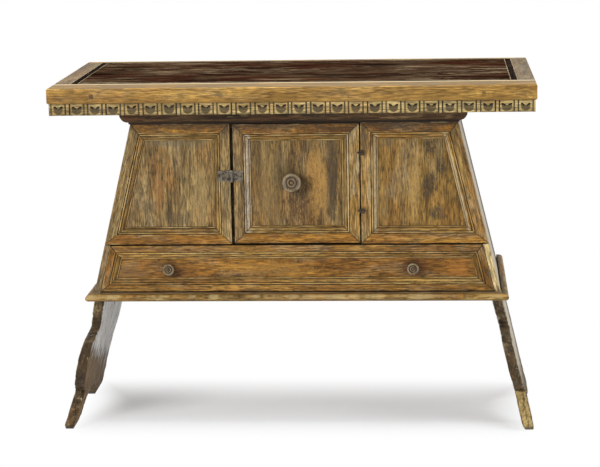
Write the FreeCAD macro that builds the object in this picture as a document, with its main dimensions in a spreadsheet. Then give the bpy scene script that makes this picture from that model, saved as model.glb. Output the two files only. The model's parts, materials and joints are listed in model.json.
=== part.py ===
import FreeCAD, Part
import math
import os
import Sketcher

# Walnut table-cabinet on two slanting plank legs.
# Millimetres. X runs to the right, the front is towards -Y, Z is up.
# The origin is on the floor, midway between the feet.

SIZES = (
    ("top_length", 1100, "table top, left to right"),
    ("top_depth", 560, "table top, front to back"),
    ("top_height", 810, "floor to the face of the top"),
    ("top_thickness", 35, "thickness of the top's frame"),
    ("top_rounding", 4, "rounding of the top's front and side edges"),
    ("top_front_border", 84, "width of the top's front rail"),
    ("top_back_border", 19, "width of the top's back rail"),
    ("top_end_border", 40, "width of the clamps at the top's ends"),
    ("band_width", 16, "dark band let into the centre board"),
    ("band_depth", 3, "how deep the band is let in"),
    ("strip_setback", 4, "carved strip, back from the top's edge"),
    ("strip_height", 27, "height of the carved strip"),
    ("strip_thickness", 14, "thickness of the carved strip"),
    ("front_gouges", 26, "number of gouge cuts on the front strip"),
    ("side_gouges", 13, "number of gouge cuts on each side strip"),
    ("gouge_width", 21, "width of one gouge cut"),
    ("gouge_length", 15, "height of one gouge cut"),
    ("gouge_depth", 4, "depth of one gouge cut"),
    ("front_overhang", 90, "top, forward of the case's front face"),
    ("back_overhang", 45, "top, behind the case's back face"),
    ("foot_reach", 1, "outside of a foot, beyond the top's end"),
    ("cheek_slope", 0.245, "how far a cheek leans in for each unit of height"),
    ("cheek_width", 27, "thickness of a cheek, measured level"),
    ("leg_height", 303, "floor to the underside of the bottom board"),
    ("bottom_thickness", 17, "bottom board"),
    ("nose_width", 16, "rounded nosing round the bottom board"),
    ("nose_reach", 12, "bottom board, forward of the case's front"),
    ("frame_thickness", 18, "frame members of the front"),
    ("frame_flat", 23, "face width of the frame members"),
    ("moulding_width", 17, "moulding inside each frame"),
    ("moulding_depth", 9, "front of a frame back to its field"),
    ("field_thickness", 8, "field boards"),
    ("drawer_rail", 15, "face width of the drawer front's frame"),
    ("edge_strip_width", 13, "strip on the cheek's edge beside the drawer"),
    ("drawer_low", 322, "floor to the lower edge of the drawer front"),
    ("drawer_high", 430.5, "floor to the upper edge of the drawer front"),
    ("panel_low", 434, "floor to the lower edge of the side panels"),
    ("cornice_height", 59, "underside of the top down to the cornice's lower edge"),
    ("cornice_reach", 32, "how far the cornice stands out"),
    ("door_left", 140, "door's left edge, left of the centre"),
    ("door_right", 150, "door's right edge, right of the centre"),
    ("door_left_gap", 7, "open joint at the door's left edge"),
    ("door_right_gap", 3, "joint at the door's hinged edge"),
    ("door_end_gap", 2, "joint above and below the door"),
    ("moving_gap", 0.5, "clearance behind and under what moves"),
    ("shelf_thickness", 14, "dust board and case top board"),
    ("shelf_stop", 10, "how far these boards stand behind the door's ends"),
    ("back_thickness", 12, "back boards"),
    ("back_board_count", 3, "number of back boards"),
    ("post_thickness", 22, "door posts, front to back"),
    ("post_width", 30, "door posts, left to right"),
    ("post_stop", 5, "how far a post stands behind the door's edge"),
    ("bearer_width", 25, "bearers under the top"),
    ("bearer_height", 25, "height of the bearers"),
    ("bearer_inset", 12, "bearer, in from the cheek's inner face"),
    ("drawer_side_room", 15, "cheek to drawer box, at the box's upper edge"),
    ("drawer_box_height", 97, "drawer sides, above the drawer's bottom"),
    ("drawer_wall", 12, "drawer sides and back"),
    ("drawer_bottom_thickness", 7, "drawer bottom"),
    ("drawer_back_room", 23.5, "drawer box to the back boards"),
    ("guide_width", 12, "guide strips beside the drawer"),
    ("guide_height", 25, "height of the guide strips"),
    ("guide_gap", 1, "clearance between drawer and guide"),
    ("door_knob_width", 45, "diameter of the door's knob"),
    ("door_knob_reach", 30, "how far it stands out"),
    ("door_knob_left", 5, "knob's axis, left of the centre"),
    ("drawer_knob_width", 28, "diameter of the drawer knobs"),
    ("drawer_knob_reach", 24, "how far they stand out"),
    ("left_knob_place", 296, "left drawer knob, left of the centre"),
    ("right_knob_place", 271, "right drawer knob, right of the centre"),
    ("tenon_diameter", 10, "round tenon of a knob"),
    ("tenon_length", 8, "length of a knob's tenon"),
    ("tenon_gap", 0.1, "clearance round a tenon or a driven shank"),
    ("hinge_wire", 2.6, "wire of the iron hinge loops"),
    ("hinge_loop", 10, "diameter of a loop, centre line"),
    ("hinge_stand", 7, "hinge axis, forward of the front face"),
    ("hinge_shank", 14, "shank driven into the wood"),
    ("hinge_shank_wire", 2.0, "thinned wire of the shank"),
    ("hasp_width", 24, "height of the hasp's plates"),
    ("hasp_plate_thickness", 1.6, "iron of the hasp"),
    ("hasp_axis_left", 144, "hasp's pin, left of the centre"),
    ("hasp_leaf_length", 32, "pin to the leaf's free end"),
    ("hasp_plate_length", 26, "pin to the fixed plate's end"),
    ("hasp_barrel", 6, "outer diameter of the hasp's knuckles"),
    ("hasp_pin_diameter", 3, "pin of the hasp"),
    ("hasp_pin_play", 0.3, "clearance round the pin and between knuckles"),
    ("hasp_knuckle", 8, "length of the leaf's middle knuckle"),
    ("staple_left", 163, "staple, left of the centre"),
    ("staple_wire", 2.2, "wire of the staple"),
    ("staple_height", 11, "staple's loop, top to bottom"),
    ("staple_reach", 10, "how far the staple stands out"),
    ("slot_play", 2, "clearance of the slot round the staple"),
    ("overrun", 5, "how far a cutting tool runs past the wood"),
)

# Heights of the door's fittings, as shares of its height from its lower edge.
UPPER_HINGE_SHARE = 0.759
LOWER_HINGE_SHARE = 0.273
KNOB_SHARE = 0.518
HASP_SHARE = 0.568

# One cheek seen from the side. Each point is a share of the case's depth,
# from its front face back, and a share of the leg's height. A pair of points
# is a straight stretch; a triple is an arc through its middle point.
LEG_OUTLINE_SHARES = (
    ((0.05, 1.0), (0.05, 0.945)),
    ((0.05, 0.945), (0.085, 0.845), (0.14, 0.745)),
    ((0.14, 0.745), (0.04, 0.72)),
    ((0.04, 0.72), (-0.065, 0.68), (-0.135, 0.58)),
    ((-0.135, 0.58), (-0.105, 0.42), (0.015, 0.27)),
    ((0.015, 0.27), (0.04, 0.25)),
    ((0.04, 0.25), (-0.035, 0.165), (-0.125, 0.055)),
    ((-0.125, 0.055), (-0.115, 0.0)),
    ((-0.115, 0.0), (0.065, 0.0)),
    ((0.065, 0.0), (0.135, 0.115), (0.25, 0.17)),
    ((0.25, 0.17), (0.45, 0.15), (0.60, 0.0)),
    ((0.60, 0.0), (0.79, 0.0)),
    ((0.79, 0.0), (0.85, 0.09), (0.82, 0.22)),
    ((0.82, 0.22), (0.855, 0.38), (0.965, 0.55)),
    ((0.965, 0.55), (0.965, 1.0)),
)

# Sections of the mouldings: shares of the width, then of the depth.
FRAME_MOULDING_SHARES = (
    ((0.0, 1.0), (0.0, 0.30)),
    ((0.0, 0.30), (0.14, 0.10)),
    ((0.14, 0.10), (0.50, 0.20), (0.80, 0.60)),
    ((0.80, 0.60), (0.80, 0.76)),
    ((0.80, 0.76), (1.0, 0.84)),
    ((1.0, 0.84), (1.0, 1.0)),
    ((1.0, 1.0), (0.0, 1.0)),
)
CORNICE_SHARES = (
    ((0.0, 0.0), (0.10, 0.0)),
    ((0.10, 0.0), (0.10, 0.07)),
    ((0.10, 0.07), (0.34, 0.12), (0.66, 0.32)),
    ((0.66, 0.32), (0.84, 0.44), (0.94, 0.60)),
    ((0.94, 0.60), (1.0, 0.66)),
    ((1.0, 0.66), (1.0, 1.0)),
    ((1.0, 1.0), (0.0, 1.0)),
    ((0.0, 1.0), (0.0, 0.0)),
)
NOSE_SHARES = (
    ((0.0, 0.0), (0.45, 0.0)),
    ((0.45, 0.0), (0.86, 0.16), (1.0, 0.5)),
    ((1.0, 0.5), (0.86, 0.84), (0.45, 1.0)),
    ((0.45, 1.0), (0.0, 1.0)),
    ((0.0, 1.0), (0.0, 0.0)),
)

# Turned knobs: shares of the radius, then of the reach, from the wood out.
DOOR_KNOB_SHARES = (
    ((0.42, 0.0), (0.42, 0.10)),
    ((0.42, 0.10), (0.36, 0.30), (0.52, 0.50)),
    ((0.52, 0.50), (0.90, 0.58)),
    ((0.90, 0.58), (1.0, 0.68), (0.90, 0.80)),
    ((0.90, 0.80), (0.74, 0.74)),
    ((0.74, 0.74), (0.62, 0.86), (0.48, 0.80)),
    ((0.48, 0.80), (0.30, 0.84)),
    ((0.30, 0.84), (0.22, 0.97), (0.05, 1.0)),
    ((0.05, 1.0), (0.0, 1.0)),
)
DRAWER_KNOB_SHARES = (
    ((0.62, 0.0), (0.62, 0.08)),
    ((0.62, 0.08), (0.40, 0.26), (0.62, 0.42)),
    ((0.62, 0.42), (1.0, 0.66), (0.62, 0.92)),
    ((0.62, 0.92), (0.34, 0.99), (0.05, 1.0)),
    ((0.05, 1.0), (0.0, 1.0)),
)

doc = FreeCAD.newDocument("table_cabinet")
sheet = doc.addObject("Spreadsheet::Sheet", "sizes")
for row, (alias, number, meaning) in enumerate(SIZES, start=1):
    sheet.set(f"A{row}", alias)
    sheet.set(f"B{row}", str(number))
    sheet.set(f"C{row}", meaning)
    sheet.setAlias(f"B{row}", alias)
doc.recompute()


class Size:
    """A length kept both as a formula on the sheet and as its present number."""

    def __init__(self, formula, number):
        self.formula = formula
        self.number = number

    def combined(self, sign, other):
        other = as_size(other)
        formula = f"({self.formula} {sign} {other.formula})"
        number = {
            "+": lambda: self.number + other.number,
            "-": lambda: self.number - other.number,
            "*": lambda: self.number * other.number,
            "/": lambda: self.number / other.number,
        }[sign]()
        return Size(formula, number)

    def __add__(self, other):
        return self.combined("+", other)

    def __radd__(self, other):
        return as_size(other).combined("+", self)

    def __sub__(self, other):
        return self.combined("-", other)

    def __rsub__(self, other):
        return as_size(other).combined("-", self)

    def __mul__(self, other):
        return self.combined("*", other)

    def __rmul__(self, other):
        return as_size(other).combined("*", self)

    def __truediv__(self, other):
        return self.combined("/", other)

    def __neg__(self):
        return as_size(0) - self


def as_size(value):
    """A Size as it is, and a plain number as a Size that never changes."""
    if isinstance(value, Size):
        return value
    return Size(str(value), float(value))


class Cells:
    """The sheet's cells by name."""

    def __init__(self):
        for alias, _, _ in SIZES:
            setattr(self, alias, Size(f"sizes.{alias}", float(sheet.get(alias))))


cell = Cells()
LEFT = -1
RIGHT = 1
SIDES = ((LEFT, "left"), (RIGHT, "right"))

# Levels and planes that several pieces share.
TOP_FRONT = -cell.top_depth / 2
TOP_BACK = cell.top_depth / 2
TOP_END = cell.top_length / 2
FRONT = TOP_FRONT + cell.front_overhang
FRAME_BACK = FRONT + cell.frame_thickness
FIELD_FRONT = FRONT + cell.moulding_depth
BACK = TOP_BACK - cell.back_overhang
INNER_BACK = BACK - cell.back_thickness
TOP_UNDER = cell.top_height - cell.top_thickness
BOTTOM_TOP = cell.leg_height + cell.bottom_thickness
CORNICE_LOW = TOP_UNDER - cell.cornice_height
DOOR_LOW = cell.panel_low + cell.door_end_gap
DOOR_HIGH = CORNICE_LOW - cell.door_end_gap
DOOR_HEIGHT = DOOR_HIGH - DOOR_LOW
UPPER_HINGE = DOOR_LOW + UPPER_HINGE_SHARE * DOOR_HEIGHT
LOWER_HINGE = DOOR_LOW + LOWER_HINGE_SHARE * DOOR_HEIGHT
KNOB_HEIGHT = DOOR_LOW + KNOB_SHARE * DOOR_HEIGHT
HASP_HEIGHT = DOOR_LOW + HASP_SHARE * DOOR_HEIGHT
DOOR_BACK = FRAME_BACK - cell.moving_gap
DUST_TOP = DOOR_LOW + cell.shelf_stop
CASE_TOP_LOW = DOOR_HIGH - cell.shelf_stop
DRAWER_FLOOR = BOTTOM_TOP + cell.moving_gap
TENON_HOLE = cell.tenon_diameter + 2 * cell.tenon_gap
SHANK_HOLE = cell.hinge_shank_wire + 2 * cell.tenon_gap
SHANK_DEPTH = cell.hinge_shank + cell.tenon_gap
HINGE_X = cell.door_right + cell.door_right_gap / 2
DOOR_SHANK_X = HINGE_X - (cell.hinge_loop - cell.hinge_wire + cell.hinge_shank_wire) / 2
POST_SHANK_X = HINGE_X + cell.hinge_loop
DRAWER_MIDDLE = (cell.drawer_low + cell.drawer_high) / 2
SLANT = Size(
    f"sqrt(1 + {cell.cheek_slope.formula} ^ 2)",
    math.sqrt(1 + cell.cheek_slope.number ** 2),
)


def cheek_outer(height):
    """Distance from the centre to a cheek's outer face at a height."""
    return TOP_END + cell.foot_reach - cell.cheek_slope * height


def cheek_inner(height):
    """Distance from the centre to a cheek's inner face at a height."""
    return cheek_outer(height) - cell.cheek_width


DRAWER_BOX_LOW = DRAWER_FLOOR + cell.drawer_bottom_thickness
DRAWER_BOX_HIGH = DRAWER_BOX_LOW + cell.drawer_box_height
DRAWER_HALF = cheek_inner(DRAWER_BOX_HIGH) - cell.drawer_side_room


def bind(item, prop, size):
    """Tie one property to a formula on the sheet."""
    item.setExpression(prop, as_size(size).formula)


def plane_of(body, role):
    """One of the body's own origin planes."""
    return next(item for item in body.Origin.OriginFeatures if item.Role == role)


VIEWS = {"front": "XZ_Plane", "side": "YZ_Plane", "plan": "XY_Plane"}


def outline(body, name, view, corners, level):
    """A closed outline of straight lines, in a front, side or plan view.

    level is where the sketch lies along the view's axis. The front view's
    plane faces -Y, so its offset is turned round.
    """
    sketch = body.newObject("Sketcher::SketchObject", name)
    sketch.AttachmentSupport = [(plane_of(body, VIEWS[view]), "")]
    sketch.MapMode = "FlatFace"
    bind(sketch, "AttachmentOffset.Base.z", -as_size(level) if view == "front" else level)
    places = [(as_size(across), as_size(up)) for across, up in corners]
    vectors = [FreeCAD.Vector(across.number, up.number, 0) for across, up in places]
    count = len(places)
    for index in range(count):
        line = Part.LineSegment(vectors[index], vectors[(index + 1) % count])
        sketch.addGeometry(line, False)
    for index in range(count):
        sketch.addConstraint(Sketcher.Constraint("Coincident", index, 2, (index + 1) % count, 1))
    for index, (across, up) in enumerate(places):
        for kind, size, letter in (("DistanceX", across, "across"), ("DistanceY", up, "up")):
            constraint = Sketcher.Constraint(kind, -1, 1, index, 1, size.number)
            number = sketch.addConstraint(constraint)
            sketch.renameConstraint(number, f"{letter}{index}")
            sketch.setExpression(f"Constraints.{letter}{index}", size.formula)
    return sketch


def padded(body, name, view, corners, low, high):
    """A straight-sided board between two levels, added to a body."""
    low, high = as_size(low), as_size(high)
    sketch = outline(body, f"{name}_outline", view, corners, high if view == "front" else low)
    pad = body.newObject("PartDesign::Pad", f"{name}_pad")
    pad.Profile = sketch
    bind(pad, "Length", high - low)
    sketch.Visibility = False
    return pad


def bored(body, name, across, up, diameter, face_level, depth):
    """A round hole into a board's front face, running back along Y."""
    sketch = body.newObject("Sketcher::SketchObject", name)
    sketch.AttachmentSupport = [(plane_of(body, VIEWS["front"]), "")]
    sketch.MapMode = "FlatFace"
    bind(sketch, "AttachmentOffset.Base.z", -as_size(face_level))
    centre = FreeCAD.Vector(across.number, up.number, 0)
    radius = (diameter / 2).number
    sketch.addGeometry(Part.Circle(centre, FreeCAD.Vector(0, 0, 1), radius), False)
    for kind, places, size, word in (
        ("DistanceX", (-1, 1, 0, 3), across, "across"),
        ("DistanceY", (-1, 1, 0, 3), up, "up"),
        ("Radius", (0,), diameter / 2, "radius"),
    ):
        number = sketch.addConstraint(Sketcher.Constraint(kind, *places, size.number))
        sketch.renameConstraint(number, word)
        sketch.setExpression(f"Constraints.{word}", size.formula)
    doc.recompute()
    before = body.Shape.Volume
    pocket = body.newObject("PartDesign::Pocket", f"{name}_cut")
    pocket.Profile = sketch
    bind(pocket, "Length", depth)
    doc.recompute()
    if not body.Shape.Volume < before:
        raise RuntimeError(f"{name}: the hole cuts nothing")
    sketch.Visibility = False


pieces = []


def kept(item, label, solids=1):
    """Note a finished piece, with the name of its node and its count of solids."""
    item.Label = label
    pieces.append((item, solids))
    return item


def board(label, view, corners, low, high, keep=True):
    """A piece that is one straight-sided board."""
    body = doc.addObject("PartDesign::Body", label)
    padded(body, label, view, corners, low, high)
    return kept(body, label) if keep else body


def block(label, x_range, y_range, z_range, keep=True):
    """A square-edged piece between two places on each axis."""
    item = doc.addObject("Part::Box", label)
    sides = (("x", "Length", x_range), ("y", "Width", y_range), ("z", "Height", z_range))
    for axis, prop, (low, high) in sides:
        bind(item, f"Placement.Base.{axis}", low)
        bind(item, prop, as_size(high) - low)
    return kept(item, label) if keep else item


def group(label, items):
    """Alike pieces that share one node, each still its own solid."""
    compound = doc.addObject("Part::Compound", label)
    compound.Links = items
    return kept(compound, label, len(items))


def feature(label, shape, solids=1, place=FreeCAD.Vector()):
    """A piece whose shape is worked out from the sheet's numbers, moved to its place."""
    item = doc.addObject("Part::Feature", label)
    item.Shape = shape
    item.Placement = FreeCAD.Placement(place, FreeCAD.Rotation())
    return kept(item, label, solids)


def rectangle(left, right, low, high):
    """The corners of an upright rectangle."""
    return ((left, low), (right, low), (right, high), (left, high))


def joined_wire(stretches, place):
    """A closed wire of lines and arcs; place turns each point's shares into a vector."""
    edges = []
    for stretch in stretches:
        points = [place(*point) for point in stretch]
        if len(points) == 2:
            edges.append(Part.LineSegment(*points).toShape())
        else:
            edges.append(Part.Arc(*points).toShape())
    return Part.Wire(edges)


def strip_between(shares, section_places):
    """A moulding strip between two mitred ends with the same section."""
    ends = [joined_wire(shares, place) for place in section_places]
    return Part.makeLoft(ends, True, True)


# Top

def centre_corners(inset):
    """The centre board's corners in plan, drawn in by an inset."""
    inset = as_size(inset)
    left = -TOP_END + cell.top_end_border + inset
    right = TOP_END - cell.top_end_border - inset
    front = TOP_FRONT + cell.top_front_border + inset
    back = TOP_BACK - cell.top_back_border - inset
    return rectangle(left, right, front, back)


def rounded_block(label, x_range, y_range, z_range, edge_test):
    """A board with its outer upper and lower edges rounded."""
    body = doc.addObject("PartDesign::Body", label)
    corners = rectangle(x_range[0], x_range[1], y_range[0], y_range[1])
    pad = padded(body, label, "plan", corners, *z_range)
    doc.recompute()
    names = [
        f"Edge{number}"
        for number, edge in enumerate(pad.Shape.Edges, start=1)
        if edge_test(edge.BoundBox)
    ]
    fillet = body.newObject("PartDesign::Fillet", f"{label}_rounding")
    fillet.Base = (pad, names)
    bind(fillet, "Radius", cell.top_rounding)
    return body


def is_level(box):
    """True for an edge that lies level."""
    return box.ZLength < cell.overrun.number / 10


def make_top():
    """Front and back rails, end clamps, centre board and its dark band."""
    heights = (TOP_UNDER, cell.top_height)
    rail_back = TOP_FRONT + cell.top_front_border
    rail_front = TOP_BACK - cell.top_back_border
    clamp_in = TOP_END - cell.top_end_border
    touch = cell.overrun.number / 10

    def front_or_end(box):
        at_front = box.YMax < TOP_FRONT.number + touch
        at_end = box.XMax < -TOP_END.number + touch or box.XMin > TOP_END.number - touch
        return is_level(box) and (at_front or at_end)

    def outer_end(box):
        at_end = box.XMax < -TOP_END.number + touch or box.XMin > TOP_END.number - touch
        return is_level(box) and at_end

    front_rail = rounded_block(
        "top_front_rail", (-TOP_END, TOP_END), (TOP_FRONT, rail_back), heights, front_or_end
    )
    kept(front_rail, "top_front_rail")
    back_rail = rounded_block(
        "top_back_rail", (-TOP_END, TOP_END), (rail_front, TOP_BACK), heights, outer_end
    )
    kept(back_rail, "top_back_rail")
    clamps = []
    for side, word in SIDES:
        ends = (-TOP_END, -clamp_in) if side == LEFT else (clamp_in, TOP_END)
        clamps.append(
            rounded_block(f"{word}_clamp", ends, (rail_back, rail_front), heights, outer_end)
        )
    group("top_end_clamps", clamps)

    band_low = cell.top_height - cell.band_depth
    centre = doc.addObject("PartDesign::Body", "top_centre_board")
    padded(centre, "centre_lower", "plan", centre_corners(0), TOP_UNDER, band_low)
    padded(
        centre, "centre_face", "plan", centre_corners(cell.band_width), band_low, cell.top_height
    )
    kept(centre, "top_centre_board")

    outer = centre_corners(0)
    inner = centre_corners(cell.band_width)
    strips = []
    for index in range(4):
        after = (index + 1) % 4
        corners = (outer[index], outer[after], inner[after], inner[index])
        strips.append(
            board(f"band_{index}", "plan", corners, band_low, cell.top_height, keep=False)
        )
    group("top_inlay_band", strips)


def gouged_strip(label, view, corners, face_level, turned, count, first, pitch):
    """A carved strip: a mitred strip with a row of round-ended gouge cuts.

    first is the middle of the first cut along the strip and pitch the step to
    the next one. turned says that the cut runs along the view's axis.
    """
    body = doc.addObject("PartDesign::Body", label)
    strip_low = TOP_UNDER - cell.strip_height
    padded(body, label, "plan", corners, strip_low, TOP_UNDER)
    half = cell.gouge_width / 2
    cut_low = strip_low + (cell.strip_height - cell.gouge_length) / 2
    cut_high = cut_low + cell.gouge_length
    shoulder = cut_low + cell.gouge_length / 2
    cut = outline(
        body,
        f"{label}_gouge",
        view,
        (
            (first - half, shoulder),
            (first - half / 2, cut_low),
            (first + half / 2, cut_low),
            (first + half, shoulder),
            (first + half, cut_high),
            (first - half, cut_high),
        ),
        face_level,
    )
    doc.recompute()
    before = body.Shape.Volume
    pocket = body.newObject("PartDesign::Pocket", f"{label}_cut")
    pocket.Profile = cut
    bind(pocket, "Length", cell.gouge_depth)
    pocket.Reversed = turned
    doc.recompute()
    if not body.Shape.Volume < before:
        raise RuntimeError(f"{label}: the gouge cuts nothing")
    row = body.newObject("PartDesign::LinearPattern", f"{label}_row")
    row.Originals = [pocket]
    row.Direction = (cut, ["H_Axis"])
    row.Mode = "Spacing" if "Spacing" in row.getEnumerationsOfProperty("Mode") else row.Mode
    bind(row, "Offset", pitch)
    bind(row, "Occurrences", count)
    body.Tip = row
    cut.Visibility = False
    return kept(body, label)


def make_carved_strips():
    """Gouge-carved strips under the top's edge, at the front and both ends."""
    end = TOP_END - cell.strip_setback
    front = TOP_FRONT + cell.strip_setback
    back = TOP_BACK - cell.strip_setback
    thick = cell.strip_thickness
    corners = ((-end, front), (end, front), (end - thick, front + thick), (thick - end, front + thick))
    pitch = 2 * end / cell.front_gouges
    gouged_strip(
        "carved_strip_front", "front", corners, front, False,
        cell.front_gouges, pitch / 2 - end, pitch,
    )
    side_pitch = (back - front) / cell.side_gouges
    first = front + side_pitch / 2
    for side, word in SIDES:
        corners = (
            (side * end, front), (side * end, back),
            (side * (end - thick), back), (side * (end - thick), front + thick),
        )
        gouged_strip(
            f"carved_strip_{word}", "side", corners, side * end, side == LEFT,
            cell.side_gouges, first, side_pitch,
        )


# Case

def cheek_prism(side):
    """The slanting plank from the floor to the top, as deep as the cheek can be."""
    height = TOP_UNDER.number
    reach = cell.top_depth.number
    corners = [
        FreeCAD.Vector(side * cheek_outer(0).number, -reach, 0),
        FreeCAD.Vector(side * cheek_inner(0).number, -reach, 0),
        FreeCAD.Vector(side * cheek_inner(TOP_UNDER).number, -reach, height),
        FreeCAD.Vector(side * cheek_outer(TOP_UNDER).number, -reach, height),
    ]
    face = Part.Face(Part.makePolygon(corners + corners[:1]))
    return face.extrude(FreeCAD.Vector(0, 2 * reach, 0))


def cheek_silhouette():
    """A cheek's side view: the square case part above the shaped leg."""
    depth = (BACK - FRONT).number
    leg = cell.leg_height.number

    def place(depth_share, height_share):
        return FreeCAD.Vector(0, FRONT.number + depth_share * depth, height_share * leg)

    edges = list(joined_edges(LEG_OUTLINE_SHARES, place))
    leg_front = place(*LEG_OUTLINE_SHARES[0][0])
    leg_back = place(*LEG_OUTLINE_SHARES[-1][-1])
    upper = [
        leg_back,
        FreeCAD.Vector(0, BACK.number, leg),
        FreeCAD.Vector(0, BACK.number, TOP_UNDER.number),
        FreeCAD.Vector(0, FRAME_BACK.number, TOP_UNDER.number),
        FreeCAD.Vector(0, FRAME_BACK.number, leg),
        leg_front,
    ]
    for start, end in zip(upper, upper[1:]):
        edges.append(Part.LineSegment(start, end).toShape())
    return Part.Face(Part.Wire(edges))


def joined_edges(stretches, place):
    """The lines and arcs of an open outline."""
    for stretch in stretches:
        points = [place(*point) for point in stretch]
        curve = Part.LineSegment(*points) if len(points) == 2 else Part.Arc(*points)
        yield curve.toShape()


def make_cheeks():
    """Two slanting planks, each a case side above and a shaped leg below."""
    half = cheek_outer(0).number + cell.overrun.number
    slab = cheek_silhouette().extrude(FreeCAD.Vector(2 * half, 0, 0))
    slab.translate(FreeCAD.Vector(-half, 0, 0))
    for side, word in SIDES:
        feature(f"{word}_cheek", slab.common(cheek_prism(side)))


def between_cheeks(low, high):
    """Corners, in front view, of a board that fits between the cheeks."""
    return (
        (-cheek_inner(low), low), (cheek_inner(low), low),
        (cheek_inner(high), high), (-cheek_inner(high), high),
    )


def across_cheeks(low, high):
    """Corners, in front view, of a board that covers the cheeks' edges."""
    return (
        (-cheek_outer(low), low), (cheek_outer(low), low),
        (cheek_outer(high), high), (-cheek_outer(high), high),
    )


def make_case_boards():
    """Bottom, dust board, case top, back boards, rails and bearers."""
    wide = cheek_outer(cell.leg_height + cell.bottom_thickness / 2)
    slot = cheek_inner(BOTTOM_TOP)
    shelf_front = FRONT - cell.nose_reach
    board(
        "bottom_board", "plan",
        (
            (-wide, shelf_front), (wide, shelf_front), (wide, FRAME_BACK), (slot, FRAME_BACK),
            (slot, INNER_BACK), (-slot, INNER_BACK), (-slot, FRAME_BACK), (-wide, FRAME_BACK),
        ),
        cell.leg_height, BOTTOM_TOP,
    )
    for label, low, high in (
        ("dust_board", DUST_TOP - cell.shelf_thickness, DUST_TOP),
        ("case_top_board", CASE_TOP_LOW, CASE_TOP_LOW + cell.shelf_thickness + cell.door_end_gap),
    ):
        board(label, "front", between_cheeks(low, high), FRAME_BACK, INNER_BACK)

    back_low = cell.leg_height
    step = (TOP_UNDER - back_low) / cell.back_board_count
    boards = []
    for index in range(int(cell.back_board_count.number)):
        low = back_low + index * step
        corners = between_cheeks(low, low + step)
        boards.append(board(f"back_board_{index}", "front", corners, INNER_BACK, BACK, keep=False))
    group("back_boards", boards)

    case_top = CASE_TOP_LOW + cell.shelf_thickness + cell.door_end_gap
    board(
        "frieze_rail_front", "front", across_cheeks(CORNICE_LOW, TOP_UNDER),
        FRONT, FRAME_BACK,
    )
    board(
        "frieze_rail_back", "front", between_cheeks(case_top, TOP_UNDER),
        INNER_BACK - cell.frame_thickness, INNER_BACK,
    )
    bearers = []
    for side, word in SIDES:
        outer = side * (cheek_inner(TOP_UNDER) - cell.bearer_inset)
        inner = outer - side * cell.bearer_width
        ends = (outer, inner) if side == LEFT else (inner, outer)
        bearers.append(
            block(
                f"{word}_bearer", ends,
                (FRAME_BACK, INNER_BACK - cell.frame_thickness),
                (TOP_UNDER - cell.bearer_height, TOP_UNDER), keep=False,
            )
        )
    group("top_bearers", bearers)


def make_door_posts():
    """Upright posts behind the joints at the door's two edges."""
    heights = (DUST_TOP, CASE_TOP_LOW)
    depth = (FRAME_BACK, FRAME_BACK + cell.post_thickness)
    stop = cell.post_stop - cell.door_left
    block("left_door_post", (stop - cell.post_width, stop), depth, heights)
    start = cell.door_right - cell.post_stop
    block("right_door_post", (start, start + cell.post_width), depth, heights)


def make_edge_strips():
    """Narrow strips on the cheeks' front edges, beside the drawer."""
    low, high = BOTTOM_TOP, cell.panel_low - cell.door_end_gap
    for side, word in SIDES:
        corners = (
            (side * cheek_outer(low), low),
            (side * (cheek_outer(low) - cell.edge_strip_width), low),
            (side * (cheek_outer(high) - cell.edge_strip_width), high),
            (side * cheek_outer(high), high),
        )
        board(f"{word}_edge_strip", "front", corners, FRONT, FRAME_BACK)


# Mouldings that run round the case

def wrapped_strips(names, inner_front, inner_side, reach, low, high, shares):
    """A moulding along the front, mitred into one along each side.

    Its section is share of the reach outwards and share of the height. The
    side strips are cut to the slanting cheeks behind them.
    """
    front = inner_front.number
    half = inner_side.number
    out = reach.number
    base = low.number
    rise = (high - low).number
    back = BACK.number

    def corner(side):
        def place(across, up):
            return FreeCAD.Vector(side * (half + across * out), front - across * out, base + up * rise)
        return place

    def far_end(side):
        def place(across, up):
            return FreeCAD.Vector(side * (half + across * out), back, base + up * rise)
        return place

    feature(names[0], strip_between(shares, (corner(LEFT), corner(RIGHT))))
    for (side, _), name in zip(SIDES, names[1:]):
        strip = strip_between(shares, (corner(side), far_end(side)))
        feature(name, strip.cut(cheek_prism(side)))


def make_base_moulding():
    """Rounded nosing on the bottom board's front edge and along both cheeks."""
    half = cheek_outer(cell.leg_height + cell.bottom_thickness / 2)
    wrapped_strips(
        ("base_moulding_front", "base_moulding_left", "base_moulding_right"),
        FRONT - cell.nose_reach, half, cell.nose_width, cell.leg_height, BOTTOM_TOP,
        NOSE_SHARES,
    )


def make_cornice():
    """Rounded cornice under the top, at the front and both sides."""
    wrapped_strips(
        ("cornice_front", "cornice_left", "cornice_right"),
        FRONT, cheek_outer(CORNICE_LOW), cell.cornice_reach, CORNICE_LOW, TOP_UNDER,
        CORNICE_SHARES,
    )


# Frames of the front

def upright(place):
    """An edge of a frame that stands upright: the same place at every height."""
    return lambda height, inset: as_size(place) + inset


def slanting(side, gap):
    """An edge of a frame that follows a cheek, a level gap inside its outer face."""
    return lambda height, inset: side * (cheek_outer(height) - gap) + inset * SLANT


class Frame:
    """Four edges of a frame in front view; corners() draws them in by an inset."""

    def __init__(self, left, right, low, high):
        self.left = left
        self.right = right
        self.low = as_size(low)
        self.high = as_size(high)

    def corners(self, inset):
        inset = as_size(inset)
        low = self.low + inset
        high = self.high - inset
        return (
            (self.left(low, inset), low), (self.right(low, -inset), low),
            (self.right(high, -inset), high), (self.left(high, inset), high),
        )


def frame_members(frame, flat, names, low, high):
    """Bottom, right, top and left members, mitred at the corners."""
    outer = frame.corners(0)
    inner = frame.corners(flat)
    members = []
    for index, name in enumerate(names):
        after = (index + 1) % 4
        corners = (outer[index], outer[after], inner[after], inner[index])
        members.append(board(name, "front", corners, low, high, keep=False))
    return members


def in_front(across, up):
    """A point of the frames' front face."""
    return FreeCAD.Vector(across.number, FRONT.number, up.number)


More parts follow.
